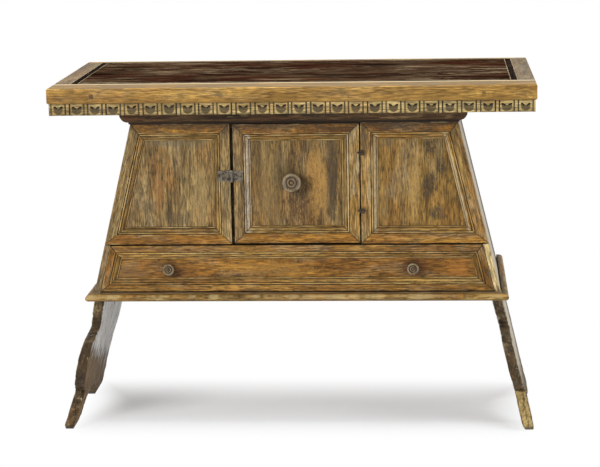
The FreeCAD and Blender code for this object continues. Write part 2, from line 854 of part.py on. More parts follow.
def frame_moulding(label, frame, flat):
    """Four straight runs of moulding inside a frame, mitred, resting on its field."""
    outer = [in_front(*corner) for corner in frame.corners(flat)]
    inner = [in_front(*corner) for corner in frame.corners(flat + cell.moulding_width)]
    deep = FreeCAD.Vector(0, cell.moulding_depth.number, 0)
    strips = []
    for index in range(4):
        start, end = outer[index], outer[(index + 1) % 4]
        inner_start, inner_end = inner[index], inner[(index + 1) % 4]
        run = end - start
        reach = inner_start - start
        across = reach - run * (reach.dot(run) / run.dot(run))
        section = joined_wire(
            FRAME_MOULDING_SHARES, lambda width, depth: start + across * width + deep * depth
        )
        mitres = Part.makePolygon([start, end, inner_end, inner_start, start])
        strips.append(Part.Face(section).extrude(run).common(Part.Face(mitres).extrude(deep)))
    feature(label, Part.makeCompound(strips), 4)


def frame_field(label, frame, flat):
    """The recessed field board that fills a frame behind its moulding."""
    back = FIELD_FRONT + cell.field_thickness
    return board(label, "front", frame.corners(flat), FIELD_FRONT, back)


LEFT_PANEL = Frame(
    slanting(LEFT, 0), upright(-cell.door_left - cell.door_left_gap),
    cell.panel_low, CORNICE_LOW,
)
RIGHT_PANEL = Frame(
    upright(cell.door_right + cell.door_right_gap), slanting(RIGHT, 0),
    cell.panel_low, CORNICE_LOW,
)
DOOR = Frame(upright(-cell.door_left), upright(cell.door_right), DOOR_LOW, DOOR_HIGH)
DRAWER_SIDE_GAP = cell.edge_strip_width + cell.guide_gap
DRAWER = Frame(
    slanting(LEFT, DRAWER_SIDE_GAP), slanting(RIGHT, DRAWER_SIDE_GAP),
    cell.drawer_low, cell.drawer_high,
)


def bore_for_hinges(stile, word, across):
    """Holes for the shanks of the upper and the lower hinge loop."""
    for name, height in (("upper", UPPER_HINGE), ("lower", LOWER_HINGE)):
        bored(stile, f"{name}_{word}_hole", across, height, SHANK_HOLE, FRONT, SHANK_DEPTH)


def make_side_panels():
    """The fixed panels left and right of the door."""
    for word, frame in (("left", LEFT_PANEL), ("right", RIGHT_PANEL)):
        names = [f"{word}_{part}" for part in ("low_rail", "right_stile", "high_rail", "left_stile")]
        low_rail, right_stile, high_rail, left_stile = frame_members(
            frame, cell.frame_flat, names, FRONT, FRAME_BACK
        )
        if word == "left":
            for name, up in (("low", -cell.staple_height / 2), ("high", cell.staple_height / 2)):
                bored(
                    right_stile, f"{name}_staple_hole", -cell.staple_left, HASP_HEIGHT + up,
                    cell.staple_wire + 2 * cell.tenon_gap, FRONT, SHANK_DEPTH,
                )
        else:
            bore_for_hinges(left_stile, "post", POST_SHANK_X)
        group(f"{word}_panel_stiles", [left_stile, right_stile])
        group(f"{word}_panel_rails", [low_rail, high_rail])
        frame_moulding(f"{word}_panel_moulding", frame, cell.frame_flat)
        frame_field(f"{word}_panel_field", frame, cell.frame_flat)


def make_door():
    """The hinged door: stiles, rails, moulding and field."""
    names = ("door_low_rail", "door_hinge_stile", "door_high_rail", "door_lock_stile")
    low_rail, hinge_stile, high_rail, lock_stile = frame_members(
        DOOR, cell.frame_flat, names, FRONT, DOOR_BACK
    )
    bore_for_hinges(hinge_stile, "door", DOOR_SHANK_X)
    kept(hinge_stile, "door_hinge_stile")
    kept(lock_stile, "door_lock_stile")
    group("door_rails", [low_rail, high_rail])
    frame_moulding("door_moulding", DOOR, cell.frame_flat)
    field = frame_field("door_field", DOOR, cell.frame_flat)
    bored(
        field, "knob_hole", -cell.door_knob_left, KNOB_HEIGHT,
        TENON_HOLE, FIELD_FRONT, cell.field_thickness + cell.overrun,
    )


# Drawer

def make_drawer():
    """A lipped front with applied frame and moulding, and the box behind it."""
    half = DRAWER_HALF
    box_low, box_high = DRAWER_BOX_LOW, DRAWER_BOX_HIGH
    lip_back = DOOR_BACK
    box_front = lip_back + cell.drawer_wall
    box_back = INNER_BACK - cell.drawer_back_room

    front = doc.addObject("PartDesign::Body", "drawer_front_board")
    padded(front, "drawer_lip", "front", DRAWER.corners(0), FIELD_FRONT, lip_back)
    padded(
        front, "drawer_lip_back", "front", rectangle(-half, half, box_low, box_high),
        lip_back, box_front,
    )
    for word, across in (("left", -cell.left_knob_place), ("right", cell.right_knob_place)):
        bored(
            front, f"{word}_knob_hole", across, DRAWER_MIDDLE,
            TENON_HOLE, FIELD_FRONT, cell.tenon_length + cell.tenon_gap,
        )
    kept(front, "drawer_front_board")

    names = ("drawer_low_rail", "drawer_right_end", "drawer_high_rail", "drawer_left_end")
    low_rail, right_end, high_rail, left_end = frame_members(
        DRAWER, cell.drawer_rail, names, FRONT, FIELD_FRONT
    )
    group("drawer_front_rails", [low_rail, high_rail])
    group("drawer_front_ends", [left_end, right_end])
    frame_moulding("drawer_front_moulding", DRAWER, cell.drawer_rail)

    wall = cell.drawer_wall
    heights = (box_low, box_high)
    block("drawer_left_side", (-half, wall - half), (box_front, box_back), heights)
    block("drawer_right_side", (half - wall, half), (box_front, box_back), heights)
    block("drawer_back", (wall - half, half - wall), (box_back - wall, box_back), heights)
    block("drawer_bottom", (-half, half), (lip_back, box_back), (DRAWER_FLOOR, box_low))


def make_drawer_guides():
    """Strips on the bottom board that keep the drawer straight."""
    inner = DRAWER_HALF + cell.guide_gap
    outer = inner + cell.guide_width
    heights = (BOTTOM_TOP, BOTTOM_TOP + cell.guide_height)
    block("left_drawer_guide", (-outer, -inner), (FRAME_BACK, INNER_BACK), heights)
    block("right_drawer_guide", (inner, outer), (FRAME_BACK, INNER_BACK), heights)


# Knobs

def turned_knob(label, shares, width, reach, x_place, height, seat, hole_depth):
    """A turned knob with a round tenon behind it, its axis along Y."""
    radius = width.number / 2
    out = reach.number
    tenon = cell.tenon_diameter.number / 2
    deep = hole_depth.number

    def place(across, forward):
        return FreeCAD.Vector(across * radius, -forward * out, 0)

    edges = list(joined_edges(shares, place))
    start = place(*shares[0][0])
    end = place(*shares[-1][-1])
    closing = [
        end, FreeCAD.Vector(0, deep, 0), FreeCAD.Vector(tenon, deep, 0),
        FreeCAD.Vector(tenon, 0, 0), start,
    ]
    for first, second in zip(closing, closing[1:]):
        edges.append(Part.LineSegment(first, second).toShape())
    face = Part.Face(Part.Wire(edges))
    knob = face.revolve(FreeCAD.Vector(0, 0, 0), FreeCAD.Vector(0, 1, 0), 360)
    seat_point = FreeCAD.Vector(x_place.number, seat.number, height.number)
    feature(label, knob, place=seat_point)


def make_knobs():
    """One knob on the door's field and two on the drawer's."""
    turned_knob(
        "door_knob", DOOR_KNOB_SHARES, cell.door_knob_width, cell.door_knob_reach,
        -cell.door_knob_left, KNOB_HEIGHT, FIELD_FRONT, cell.tenon_length,
    )
    places = ((-cell.left_knob_place, "left"), (cell.right_knob_place, "right"))
    for place, word in places:
        turned_knob(
            f"drawer_knob_{word}", DRAWER_KNOB_SHARES, cell.drawer_knob_width,
            cell.drawer_knob_reach, place, DRAWER_MIDDLE, FIELD_FRONT, cell.tenon_length,
        )


# Iron

def loop_with_shank(centre, axis, shank_x, shank_end):
    """A wire ring and the shank that is driven back into the wood."""
    radius = cell.hinge_loop.number / 2
    thin = cell.hinge_shank_wire.number / 2
    ring = Part.makeTorus(radius, cell.hinge_wire.number / 2, centre, axis)
    start = FreeCAD.Vector(shank_x, centre.y, centre.z)
    shank = Part.makeCylinder(thin, shank_end - centre.y, start, FreeCAD.Vector(0, 1, 0))
    return ring.fuse(shank)


def make_door_hinges():
    """Two pairs of linked iron loops: one loop in the door, one in the post.

    The post's loop stands upright and its wire is the axis; the door's loop
    lies level and turns round that wire.
    """
    axis_x = HINGE_X.number
    axis_y = (FRONT - cell.hinge_stand).number
    radius = cell.hinge_loop.number / 2
    shank_end = (FRONT + cell.hinge_shank).number
    door_loops = []
    post_loops = []
    for height in (UPPER_HINGE.number, LOWER_HINGE.number):
        door_centre = FreeCAD.Vector(axis_x, axis_y, height)
        post_centre = FreeCAD.Vector(axis_x + radius, axis_y, height)
        door_loops.append(
            loop_with_shank(
                door_centre, FreeCAD.Vector(0, 0, 1), DOOR_SHANK_X.number, shank_end
            )
        )
        post_loops.append(
            loop_with_shank(
                post_centre, FreeCAD.Vector(0, 1, 0), POST_SHANK_X.number, shank_end
            )
        )
    feature("door_hinge_loops", Part.makeCompound(door_loops), 2)
    feature("post_hinge_loops", Part.makeCompound(post_loops), 2)


def barrel(x_axis, y_axis, low, high):
    """A hollow knuckle round the hasp's pin."""
    up = FreeCAD.Vector(0, 0, 1)
    start = FreeCAD.Vector(x_axis, y_axis, low)
    outer = Part.makeCylinder(cell.hasp_barrel.number / 2, high - low, start, up)
    bore = cell.hasp_pin_diameter.number / 2 + cell.hasp_pin_play.number
    return outer.cut(Part.makeCylinder(bore, high - low, start, up))


def make_hasp():
    """Iron hasp: a plate on the door, a hinged leaf with a slot, pin and staple."""
    x_axis = -cell.hasp_axis_left.number
    thick = cell.hasp_plate_thickness.number
    radius = cell.hasp_barrel.number / 2
    play = cell.hasp_pin_play.number
    face = FRONT.number
    y_axis = face - radius
    middle = HASP_HEIGHT.number
    half = cell.hasp_width.number / 2
    knuckle = cell.hasp_knuckle.number / 2
    up = FreeCAD.Vector(0, 0, 1)

    plate_box = Part.makeBox(
        cell.hasp_plate_length.number, thick, 2 * half,
        FreeCAD.Vector(x_axis, face - thick, middle - half),
    )
    window = Part.makeBox(
        2 * (radius + play), 4 * radius, 2 * (knuckle + play),
        FreeCAD.Vector(x_axis - radius - play, y_axis - 2 * radius, middle - knuckle - play),
    )
    outer_knuckles = barrel(x_axis, y_axis, middle - half, middle + half)
    hollow = Part.makeCylinder(
        cell.hasp_pin_diameter.number / 2 + play, 2 * half,
        FreeCAD.Vector(x_axis, y_axis, middle - half), up,
    )
    plate = plate_box.cut(hollow).fuse(outer_knuckles).cut(window)
    feature("hasp_plate", plate.removeSplitter())

    leaf_lift = play + thick
    leaf_box = Part.makeBox(
        cell.hasp_leaf_length.number, thick, 2 * half,
        FreeCAD.Vector(x_axis - cell.hasp_leaf_length.number, face - leaf_lift, middle - half),
    )
    corner_clear = Part.makeBox(
        radius + play, 4 * radius, 2 * half,
        FreeCAD.Vector(x_axis - radius - play, y_axis - 2 * radius, middle - half),
    )
    tongue = Part.makeBox(
        radius + play, thick, 2 * knuckle,
        FreeCAD.Vector(x_axis - radius - play, face - leaf_lift, middle - knuckle),
    )
    leaf_knuckle = barrel(x_axis, y_axis, middle - knuckle, middle + knuckle)
    slot_half = cell.staple_height.number / 2 + cell.staple_wire.number / 2 + cell.slot_play.number
    slot_wide = cell.staple_wire.number / 2 + cell.slot_play.number
    slot = Part.makeBox(
        2 * slot_wide, 4 * thick, 2 * slot_half,
        FreeCAD.Vector(-cell.staple_left.number - slot_wide, face - 3 * thick, middle - slot_half),
    )
    leaf = leaf_box.cut(corner_clear).fuse([tongue.cut(hollow), leaf_knuckle]).cut(slot)
    feature("hasp_leaf", leaf.removeSplitter())

    pin = Part.makeCylinder(
        cell.hasp_pin_diameter.number / 2, 2 * half + 2 * thick,
        FreeCAD.Vector(x_axis, y_axis, middle - half - thick), up,
    )
    for level in (middle - half - thick, middle + half):
        head = Part.makeCylinder(
            radius, thick, FreeCAD.Vector(x_axis, y_axis, level), up
        )
        pin = pin.fuse(head)
    feature("hasp_pin", pin.removeSplitter())
    make_staple(middle, face)


def make_staple(middle, face):
    """A bent wire staple in the left panel's stile, standing through the slot."""
    wire = cell.staple_wire.number / 2
    bend = cell.staple_height.number / 2
    out = cell.staple_reach.number
    deep = cell.hinge_shank.number
    x_place = -cell.staple_left.number
    straight = face - out + bend
    low_end = FreeCAD.Vector(x_place, face + deep, middle - bend)
    low_turn = FreeCAD.Vector(x_place, straight, middle - bend)
    crown = FreeCAD.Vector(x_place, face - out, middle)
    high_turn = FreeCAD.Vector(x_place, straight, middle + bend)
    high_end = FreeCAD.Vector(x_place, face + deep, middle + bend)
    path = Part.Wire([
        Part.LineSegment(low_end, low_turn).toShape(),
        Part.Arc(low_turn, crown, high_turn).toShape(),
        Part.LineSegment(high_turn, high_end).toShape(),
    ])
    section = Part.Wire([Part.Circle(low_end, FreeCAD.Vector(0, 1, 0), wire).toShape()])
    feature("hasp_staple", path.makePipeShell([section], True, False))


def checked_export():
    """Check every object and every piece, then write one STEP file per piece."""
    for item in doc.Objects:
        if {"Invalid", "Error"} & set(item.State):
            raise RuntimeError(f"{item.Label}: {item.State}")
    for item, solids in pieces:
        shape = item.Shape
        if shape.isNull() or not shape.isValid():
            raise RuntimeError(f"{item.Label}: no valid shape")
        if len(shape.Solids) != solids:
            raise RuntimeError(f"{item.Label}: {len(shape.Solids)} solids, not {solids}")
    os.makedirs("parts", exist_ok=True)
    for item, solids in pieces:
        item.Shape.exportStep(f"parts/{item.Label}.step")
        box = item.Shape.BoundBox
        print(
            f"{item.Label:26s} {solids} solids {item.Shape.Volume / 1000:9.2f} cm3"
            f"  X {box.XMin:7.1f} {box.XMax:7.1f}  Y {box.YMin:7.1f} {box.YMax:7.1f}"
            f"  Z {box.ZMin:7.1f} {box.ZMax:7.1f}"
        )
    print(len(pieces), "nodes")


make_top()
make_carved_strips()
make_cheeks()
make_case_boards()
make_door_posts()
make_edge_strips()
make_base_moulding()
make_cornice()
make_side_panels()
make_door()
make_drawer()
make_drawer_guides()
make_knobs()
make_door_hinges()
make_hasp()
doc.recompute()
checked_export()
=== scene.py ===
# %% [markdown]
# # A walnut table cabinet on plank legs
# The cabinet was drawn first as solids: every board, moulding, knob and iron loop has its place there. This
# lesson dresses those solids for a picture. It keeps each board where it is, gives it old walnut, and makes
# anew the pieces whose look lives in small shapes: the panel frames and mouldings, the carved strips, the
# turned knobs, the inlaid band and the worn plank legs.

# %% Load the cabinet
import json
import math
import bpy
import numpy as np
from mathutils import Euler, Matrix, Vector

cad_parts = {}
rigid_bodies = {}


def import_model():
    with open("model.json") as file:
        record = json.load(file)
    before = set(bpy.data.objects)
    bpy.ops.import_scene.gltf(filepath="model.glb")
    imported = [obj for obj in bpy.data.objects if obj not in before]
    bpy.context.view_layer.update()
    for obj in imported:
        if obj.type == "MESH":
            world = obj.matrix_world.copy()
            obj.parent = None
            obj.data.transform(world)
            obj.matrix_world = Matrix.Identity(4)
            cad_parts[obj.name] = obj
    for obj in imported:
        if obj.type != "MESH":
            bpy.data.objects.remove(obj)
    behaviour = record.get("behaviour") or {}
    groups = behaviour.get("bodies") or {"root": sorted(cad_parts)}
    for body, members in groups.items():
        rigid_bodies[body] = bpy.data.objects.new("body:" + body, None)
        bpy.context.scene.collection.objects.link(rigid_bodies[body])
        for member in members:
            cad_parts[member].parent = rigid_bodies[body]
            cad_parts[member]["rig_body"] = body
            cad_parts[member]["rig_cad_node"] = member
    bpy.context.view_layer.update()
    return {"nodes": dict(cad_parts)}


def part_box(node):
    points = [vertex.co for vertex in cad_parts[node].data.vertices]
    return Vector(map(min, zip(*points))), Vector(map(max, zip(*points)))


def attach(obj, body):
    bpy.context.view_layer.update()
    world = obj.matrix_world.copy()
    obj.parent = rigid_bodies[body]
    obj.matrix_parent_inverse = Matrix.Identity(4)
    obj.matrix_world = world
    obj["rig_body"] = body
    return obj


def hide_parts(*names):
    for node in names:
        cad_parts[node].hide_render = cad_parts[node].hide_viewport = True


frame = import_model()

nodes = frame["nodes"]
scene = bpy.context.scene
MILLIMETRES = 1000  # in a metre

# %% [markdown]
# ## The view
# The picture was taken from a little to the right of the middle and from chest height, with a long lens.
# A camera is placed with three turns: left or right, down, and a slight lean.

# %% Place the camera
CAMERA_PLACE = (0.3266, -4.7106, 1.3405)
CAMERA_TURN = (math.radians(3.992), math.radians(11.015), math.radians(-1.039))
LENS_MM = 120.01
SENSOR_MM = 36.0

turn_left, turn_down, lean = CAMERA_TURN
camera = bpy.data.objects.new("camera", bpy.data.cameras.new("camera"))
scene.collection.objects.link(camera)
scene.camera = camera
camera.data.lens = LENS_MM
camera.data.sensor_width = SENSOR_MM
looking = Euler((math.pi / 2 - turn_down, 0.0, turn_left)).to_matrix() @ Matrix.Rotation(lean, 3, "Z")
camera.matrix_world = Matrix.Translation(CAMERA_PLACE) @ looking.to_4x4()
print("camera stands", round(-CAMERA_PLACE[1], 2), "m in front")

# %% [markdown]
# ## A small kit for wiring nodes
# A material is a tree of nodes. Writing each link by hand is long, so a helper makes a node, sets its own
# settings, and fills its sockets either with plain values or with another node's output.

# %% Node helper
def fill(tree, node, sockets):
    """Fill sockets: another node's output is linked, a number is set, and a colour gets full opacity."""
    for title, value in sockets.items():
        socket = node.inputs[title]
        if isinstance(value, bpy.types.NodeSocket):
            tree.links.new(value, socket)
        else:
            socket.default_value = (*value, 1.0) if socket.type == "RGBA" else value


def wired(tree, kind, sockets=None, **settings):
    """A new shader node of this kind, with its settings made and its sockets filled."""
    node = tree.nodes.new("ShaderNode" + kind)
    for title, value in settings.items():
        setattr(node, title, value)
    fill(tree, node, sockets or {})
    return node


def maths(tree, operation, first, second=0.5, **settings):
    """One arithmetic step between two values."""
    return wired(tree, "Math", {0: first, 1: second}, operation=operation, **settings).outputs[0]


def times(tree, first, second, **settings):
    """The product of two values."""
    return maths(tree, "MULTIPLY", first, second, **settings)


def vectors(tree, operation, first, second, result=0):
    """One step between two vectors."""
    return wired(tree, "VectorMath", {0: first, 1: second}, operation=operation).outputs[result]


def spread(tree, value, low, high, to_low=0.0, to_high=1.0, **settings):
    """value mapped from low..high to to_low..to_high, clamped."""
    return wired(tree, "MapRange", {
        "Value": value, "From Min": low, "From Max": high, "To Min": to_low, "To Max": to_high,
    }, clamp=True, **settings).outputs["Result"]


def mixed(tree, factor, under, over):
    """The colour over laid on the colour under, by factor."""
    return wired(tree, "Mix", {0: factor, 6: under, 7: over}, data_type="RGBA").outputs[2]


def coated(tree, colour, mask, amount, over):
    """The colour over laid on colour by mask * amount."""
    return mixed(tree, times(tree, mask, amount), colour, over)


def noise(tree, vector, squeeze, scale, detail, distortion=0.0, roughness=0.55):
    """Noise read at vector * squeeze, so it is long along the axis with the small factor."""
    return wired(tree, "TexNoise", {
        "Vector": vectors(tree, "MULTIPLY", vector, squeeze), "Scale": scale, "Detail": detail,
        "Roughness": roughness, "Distortion": distortion,
    }).outputs["Fac"]


def own_value(tree, title):
    """The value that each point of the mesh keeps under this title."""
    return wired(tree, "Attribute", attribute_name=title).outputs["Fac"]


def new_material(title):
    """A material, its tree and its shader."""
    material = bpy.data.materials.new(title)
    material.use_nodes = True
    return material, material.node_tree, material.node_tree.nodes["Principled BSDF"]


def shared_effect(title, outputs, **amounts):
    """An empty node group that takes a Vector and named amounts and gives the named values."""
    group = bpy.data.node_groups.new(title, "ShaderNodeTree")
    group.interface.new_socket("Vector", in_out="INPUT", socket_type="NodeSocketVector")
    for name, value in amounts.items():
        group.interface.new_socket(name, in_out="INPUT", socket_type="NodeSocketFloat").default_value = value
    for name in outputs:
        group.interface.new_socket(name, in_out="OUTPUT", socket_type="NodeSocketFloat")
    return group, group.nodes.new("NodeGroupInput").outputs, group.nodes.new("NodeGroupOutput").inputs


def placed(tree, group, **sockets):
    """The outputs of one use of a shared group."""
    return wired(tree, "Group", sockets, node_tree=group).outputs

# %% [markdown]
# ## Grain
# Walnut shows four things at four sizes: slow bands of light and dark, narrower streaks, fine fibres, and
# short open pores. All run along the board. Noise that is squeezed across the grain and left long along it
# gives each of them. The group expects the grain along X, so each material turns its coordinates first.

# %% Grain group
def noise_group(title, roughness, rows):
    """A group of noises; a row has squeeze, scale, detail, distortion and the low..high that goes to 0..1."""
    group, entry, leave = shared_effect(title, rows)
    for name, (squeeze, scale, detail, distortion, low, high) in rows.items():
        value = noise(group, entry["Vector"], squeeze, scale, detail, distortion, roughness)
        group.links.new(spread(group, value, low, high), leave[name])
    return group


GRAIN = noise_group("grain", 0.55, {
    "Bands": ((1.1, 11.0, 11.0), 2.6, 5.0, 1.2, 0.36, 0.66),
    "Streaks": ((2.2, 22.0, 22.0), 6.0, 4.0, 0.4, 0.36, 0.64),
    "Fibres": ((6.0, 64.0, 64.0), 6.0, 3.0, 0.2, 0.38, 0.62),
    "Flecks": ((12.0, 52.0, 52.0), 6.0, 3.0, 0.0, 0.55, 0.63),
})
print("grain group ready:", [socket.name for socket in GRAIN.interface.items_tree])

# %% [markdown]
# ## Age
# Old wood is pale where hands and feet have rubbed the edges. Its corners are darker: partly wax and dirt
# that have settled there, partly painted shade. An edge can be found by comparing the true normal with one
# that is
# rounded over a small radius: the two differ only near an edge. A corner can be found by how much of the sky
# a point can't see. Both masks are broken up with noise, because wear is never even. Patches of dry, greyed
# wood, of warm wood and of dark blotches are plain noise of three sizes, each past its threshold, with ragged
# rims.

# %% Wear, grime and painted shade, and patch groups
def make_edge_wear():
    """Edge wear: Mask is 1 - dot(true normal, rounded normal), spread and broken up by noise."""
    group, entry, leave = shared_effect("edge wear", ["Mask"], Radius=0.002, Amount=1.0)
    rounded = wired(group, "Bevel", {"Radius": entry["Radius"]}, samples=6).outputs[0]
    true_normal = wired(group, "NewGeometry").outputs["Normal"]
    edge = spread(group, vectors(group, "DOT_PRODUCT", rounded, true_normal, "Value"), 0.995, 0.86)
    broken = spread(group, noise(group, entry["Vector"], (1.0, 2.0, 2.0), 60.0, 4.0), 0.36, 0.58)
    mask = times(group, times(group, edge, broken), entry["Amount"], use_clamp=True)
    group.links.new(mask, leave["Mask"])
    return group


def make_grime_and_shade():
    """Grime and painted shade: Mask is the blocked share of the surroundings within Reach, broken up by
    noise.
    """
    group, entry, leave = shared_effect("grime", ["Mask"], Reach=0.012, Amount=1.0)
    open_sky = wired(group, "AmbientOcclusion", {"Distance": entry["Reach"]}, samples=8).outputs["AO"]
    blocked = spread(group, open_sky, 0.92, 0.3)
    uneven = spread(group, noise(group, entry["Vector"], (1.0, 1.0, 1.0), 38.0, 4.0), 0.25, 0.55, 0.45, 1.0)
    mask = times(group, times(group, blocked, uneven), entry["Amount"], use_clamp=True)
    group.links.new(mask, leave["Mask"])
    return group


EDGE_WEAR, GRIME_AND_SHADE = make_edge_wear(), make_grime_and_shade()
PATCHES = noise_group("patches", 0.68, {
    "Dry": ((1.0, 3.2, 3.2), 6.5, 8.0, 0.5, 0.49, 0.64),
    "Warm": ((1.4, 2.6, 2.6), 4.2, 8.0, 0.5, 0.48, 0.62),
    "Blotch": ((1.0, 2.0, 2.0), 24.0, 8.0, 0.5, 0.53, 0.64),
})
print("age groups ready:", [group.name for group in (EDGE_WEAR, GRIME_AND_SHADE, PATCHES)])

# %% [markdown]
# ## Walnut
# One recipe serves every wooden piece; its tones and the direction of its grain change from board to board.
# The slow bands choose between a dark, a middle and a light tone. Warm and dry patches change the hue,
# streaks and fibres the shade, and flecks put in the pores. A board may add a touch of its own. Then come the
# grime and painted shade in corners and grooves and, last, the rubbed edges, which on a run's crests are
# partly a painted highlight. The same fibres and flecks drive the bump and the gloss, so that what looks open
# also feels open.

# %% Walnut recipe
LEAN = 0.245  # how far a plank leans, as a share of its height
TURNS = {
    "x": (0.0, 0.0, 0.0),
    "run": (0.0, 0.0, 0.0),
    "y": (0.0, 0.0, -math.pi / 2),
    "z": (0.0, math.pi / 2, 0.0),
    "left slope": (0.0, math.pi / 2 - math.atan(LEAN), 0.0),
    "right slope": (0.0, math.pi / 2 + math.atan(LEAN), 0.0),
}
FIBRE_SHADE, STREAK_SHADE = (0.5, 1.48), (0.82, 1.16)
PORE_DEPTH = 0.0008


def walnut(title, grain, tones, dry=(0.31, 0.235, 0.125), warm=(0.27, 0.12, 0.026), worn=(0.6, 0.465, 0.235),
           dirt_and_shade=(0.016, 0.011, 0.007), patch=0.5, warmth=0.6, flecks=0.5, blotch=0.4, wear=0.7, grime=0.9,
           grime_reach=0.014, gloss=(0.48, 0.68), specular=0.2, bump=0.6, place=0.0, edge_radius=0.002,
           extra=None):
    """Old walnut: tones dark, middle, light by the grain's bands; patches, grime with painted shade, and worn
    edges over it.

    grain is the axis that the grain follows, or "run" for a piece whose UV map runs along the board. A run
    carries a value "crest" too: 1 on what stands proud and is worn pale, partly wear and partly a painted
    highlight; -1 in the grooves, which take grime and painted shade.
    place moves the piece to its own part of the grain, and extra lays a board's own touch over its colour.
    """
    material, tree, shader = new_material(title)
    coordinates = wired(tree, "TexCoord").outputs
    plain = coordinates["Object"]
    along = wired(tree, "Mapping", {
        "Vector": coordinates["UV"] if grain == "run" else plain,
        "Rotation": TURNS[grain], "Location": (place, 1.7 * place, 0.6 * place),
    }).outputs[0]
    figure = placed(tree, GRAIN, Vector=along)
    patches = placed(tree, PATCHES, Vector=along)
    ramp = wired(tree, "ValToRGB", {"Fac": figure["Bands"]})
    stops = ramp.color_ramp.elements
    stops[0].position, stops[0].color = 0.05, (*tones[0], 1.0)
    stops[1].position, stops[1].color = 0.95, (*tones[2], 1.0)
    stops.new(0.5).color = (*tones[1], 1.0)
    colour = coated(tree, ramp.outputs[0], patches["Warm"], warmth, warm)
    colour = coated(tree, colour, patches["Dry"], patch, dry)
    shade = times(tree, spread(tree, figure["Fibres"], 0.0, 1.0, *FIBRE_SHADE),
                  spread(tree, figure["Streaks"], 0.0, 1.0, *STREAK_SHADE))
    colour = wired(tree, "VectorMath", {0: colour, "Scale": shade}, operation="SCALE").outputs[0]
    colour = coated(tree, colour, patches["Blotch"], blotch, tones[0])
    colour = coated(tree, colour, figure["Flecks"], flecks, dirt_and_shade)
    if extra:
        colour = extra(tree, plain, along, colour)
    grime_and_shade_mask = placed(tree, GRIME_AND_SHADE, Vector=plain, Reach=grime_reach, Amount=grime)["Mask"]
    rubbed_and_lit = placed(tree, EDGE_WEAR, Vector=plain, Radius=edge_radius, Amount=wear)["Mask"]
    if grain == "run":
        # A crest is worn pale where noise lifts it past 0.45, partly wear and partly a painted highlight; a
        # groove, under -0.25, is dark all along with grime and painted shade.
        crest = own_value(tree, "crest")
        uneven = noise(tree, along, (1.0, 3.0, 3.0), 24.0, 6.0)
        proud = maths(tree, "ADD", crest, spread(tree, uneven, 0.35, 0.65, -0.75, 0.45))
        rubbed_and_lit = maths(tree, "MAXIMUM", rubbed_and_lit, spread(tree, proud, 0.45, 1.05, 0.0, wear))
        groove = spread(tree, crest, -0.25, -0.75, 0.0, grime)
        groove = times(tree, groove, spread(tree, uneven, 0.3, 0.6, 0.6, 1.0))
        grime_and_shade_mask = maths(tree, "MAXIMUM", grime_and_shade_mask, groove)
    # Fibres and streaks stand up; flecks and blotches lie deep.
    height = maths(tree, "SUBTRACT", figure["Fibres"], figure["Flecks"])
    height = maths(tree, "SUBTRACT", maths(tree, "ADD", height, figure["Streaks"]), patches["Blotch"])
    relief = {"Strength": bump, "Distance": PORE_DEPTH, "Height": height}
    fill(tree, shader, {
        "Base Color": mixed(tree, rubbed_and_lit, mixed(tree, grime_and_shade_mask, colour, dirt_and_shade), worn),
        "Roughness": spread(tree, figure["Fibres"], 0.0, 1.0, *gloss),
        "Specular IOR Level": specular,
        "Normal": wired(tree, "Bump", relief).outputs["Normal"],
    })
    return material


print("grain can run", ", ".join(TURNS))

# %% [markdown]
# ## Which board is cut how
# A joiner lays the grain along each board's length. So rails run along X, stiles and posts along Z, and the
# end boards along Y. Each board also gets its own place in the grain, because no two come from one plank.
# Nail spots, stains and cracks are painted, and so are the shadow under the top, the stain and shadow beside
# the door's knob and highlights down some mouldings: each is a ragged spot at its place on the board.

# %% Dress the boards
SPECK = (0.52, 0.4, 0.22)


def smudged(*spots, grit=70.0, lean=0.0, pale_specks=True):
    """A touch for a board: ragged spots (x, z, half width, half height, colour, strength), in millimetres.

    A spot is full up to half of its ellipse and gone at 1.05 of it, and noise makes the rim ragged. Fine
    noise thins the spot to 0.3 of its strength between flakes, and leaves pale specks in it. x is taken at
    x + lean * z, so that a spot can follow a leaning board.
    """
    def lay(tree, plain, along, colour):
        rim = noise(tree, plain, (1.0, 1.0, 0.4), grit, 8.0, 0.6, 0.75)
        ragged = spread(tree, rim, 0.34, 0.66, 0.45, 1.75)
        fine = noise(tree, along, (1.0, 2.4, 2.4), 120.0, 5.0, 0.8, 0.8)
        flaky = spread(tree, fine, 0.42, 0.54, 0.3, 1.0)
        axes = wired(tree, "SeparateXYZ", {0: plain}).outputs
        upright_x = maths(tree, "ADD", axes["X"], times(tree, axes["Z"], lean))
        place = wired(tree, "CombineXYZ", {"X": upright_x, "Z": axes["Z"]}).outputs[0]
        masks = []
        for x, z, half_wide, half_high, spot, strength in spots:
            shrink = (MILLIMETRES / half_wide, 0.0, MILLIMETRES / half_high)
            shrunk = vectors(tree, "MULTIPLY", place, shrink)
            away = vectors(tree, "DISTANCE", shrunk, (x / half_wide, 0.0, z / half_high), "Value")
            masks.append(spread(tree, times(tree, away, ragged), 1.05, 0.5, 0.0, strength))
            colour = coated(tree, colour, masks[-1], flaky, spot)
        if pale_specks:
            touched = 0.0
            for mask in masks:
                touched = maths(tree, "MAXIMUM", mask, touched)
            colour = coated(tree, colour, touched, spread(tree, fine, 0.36, 0.3, 0.0, 0.7), SPECK)
        return colour
    return lay
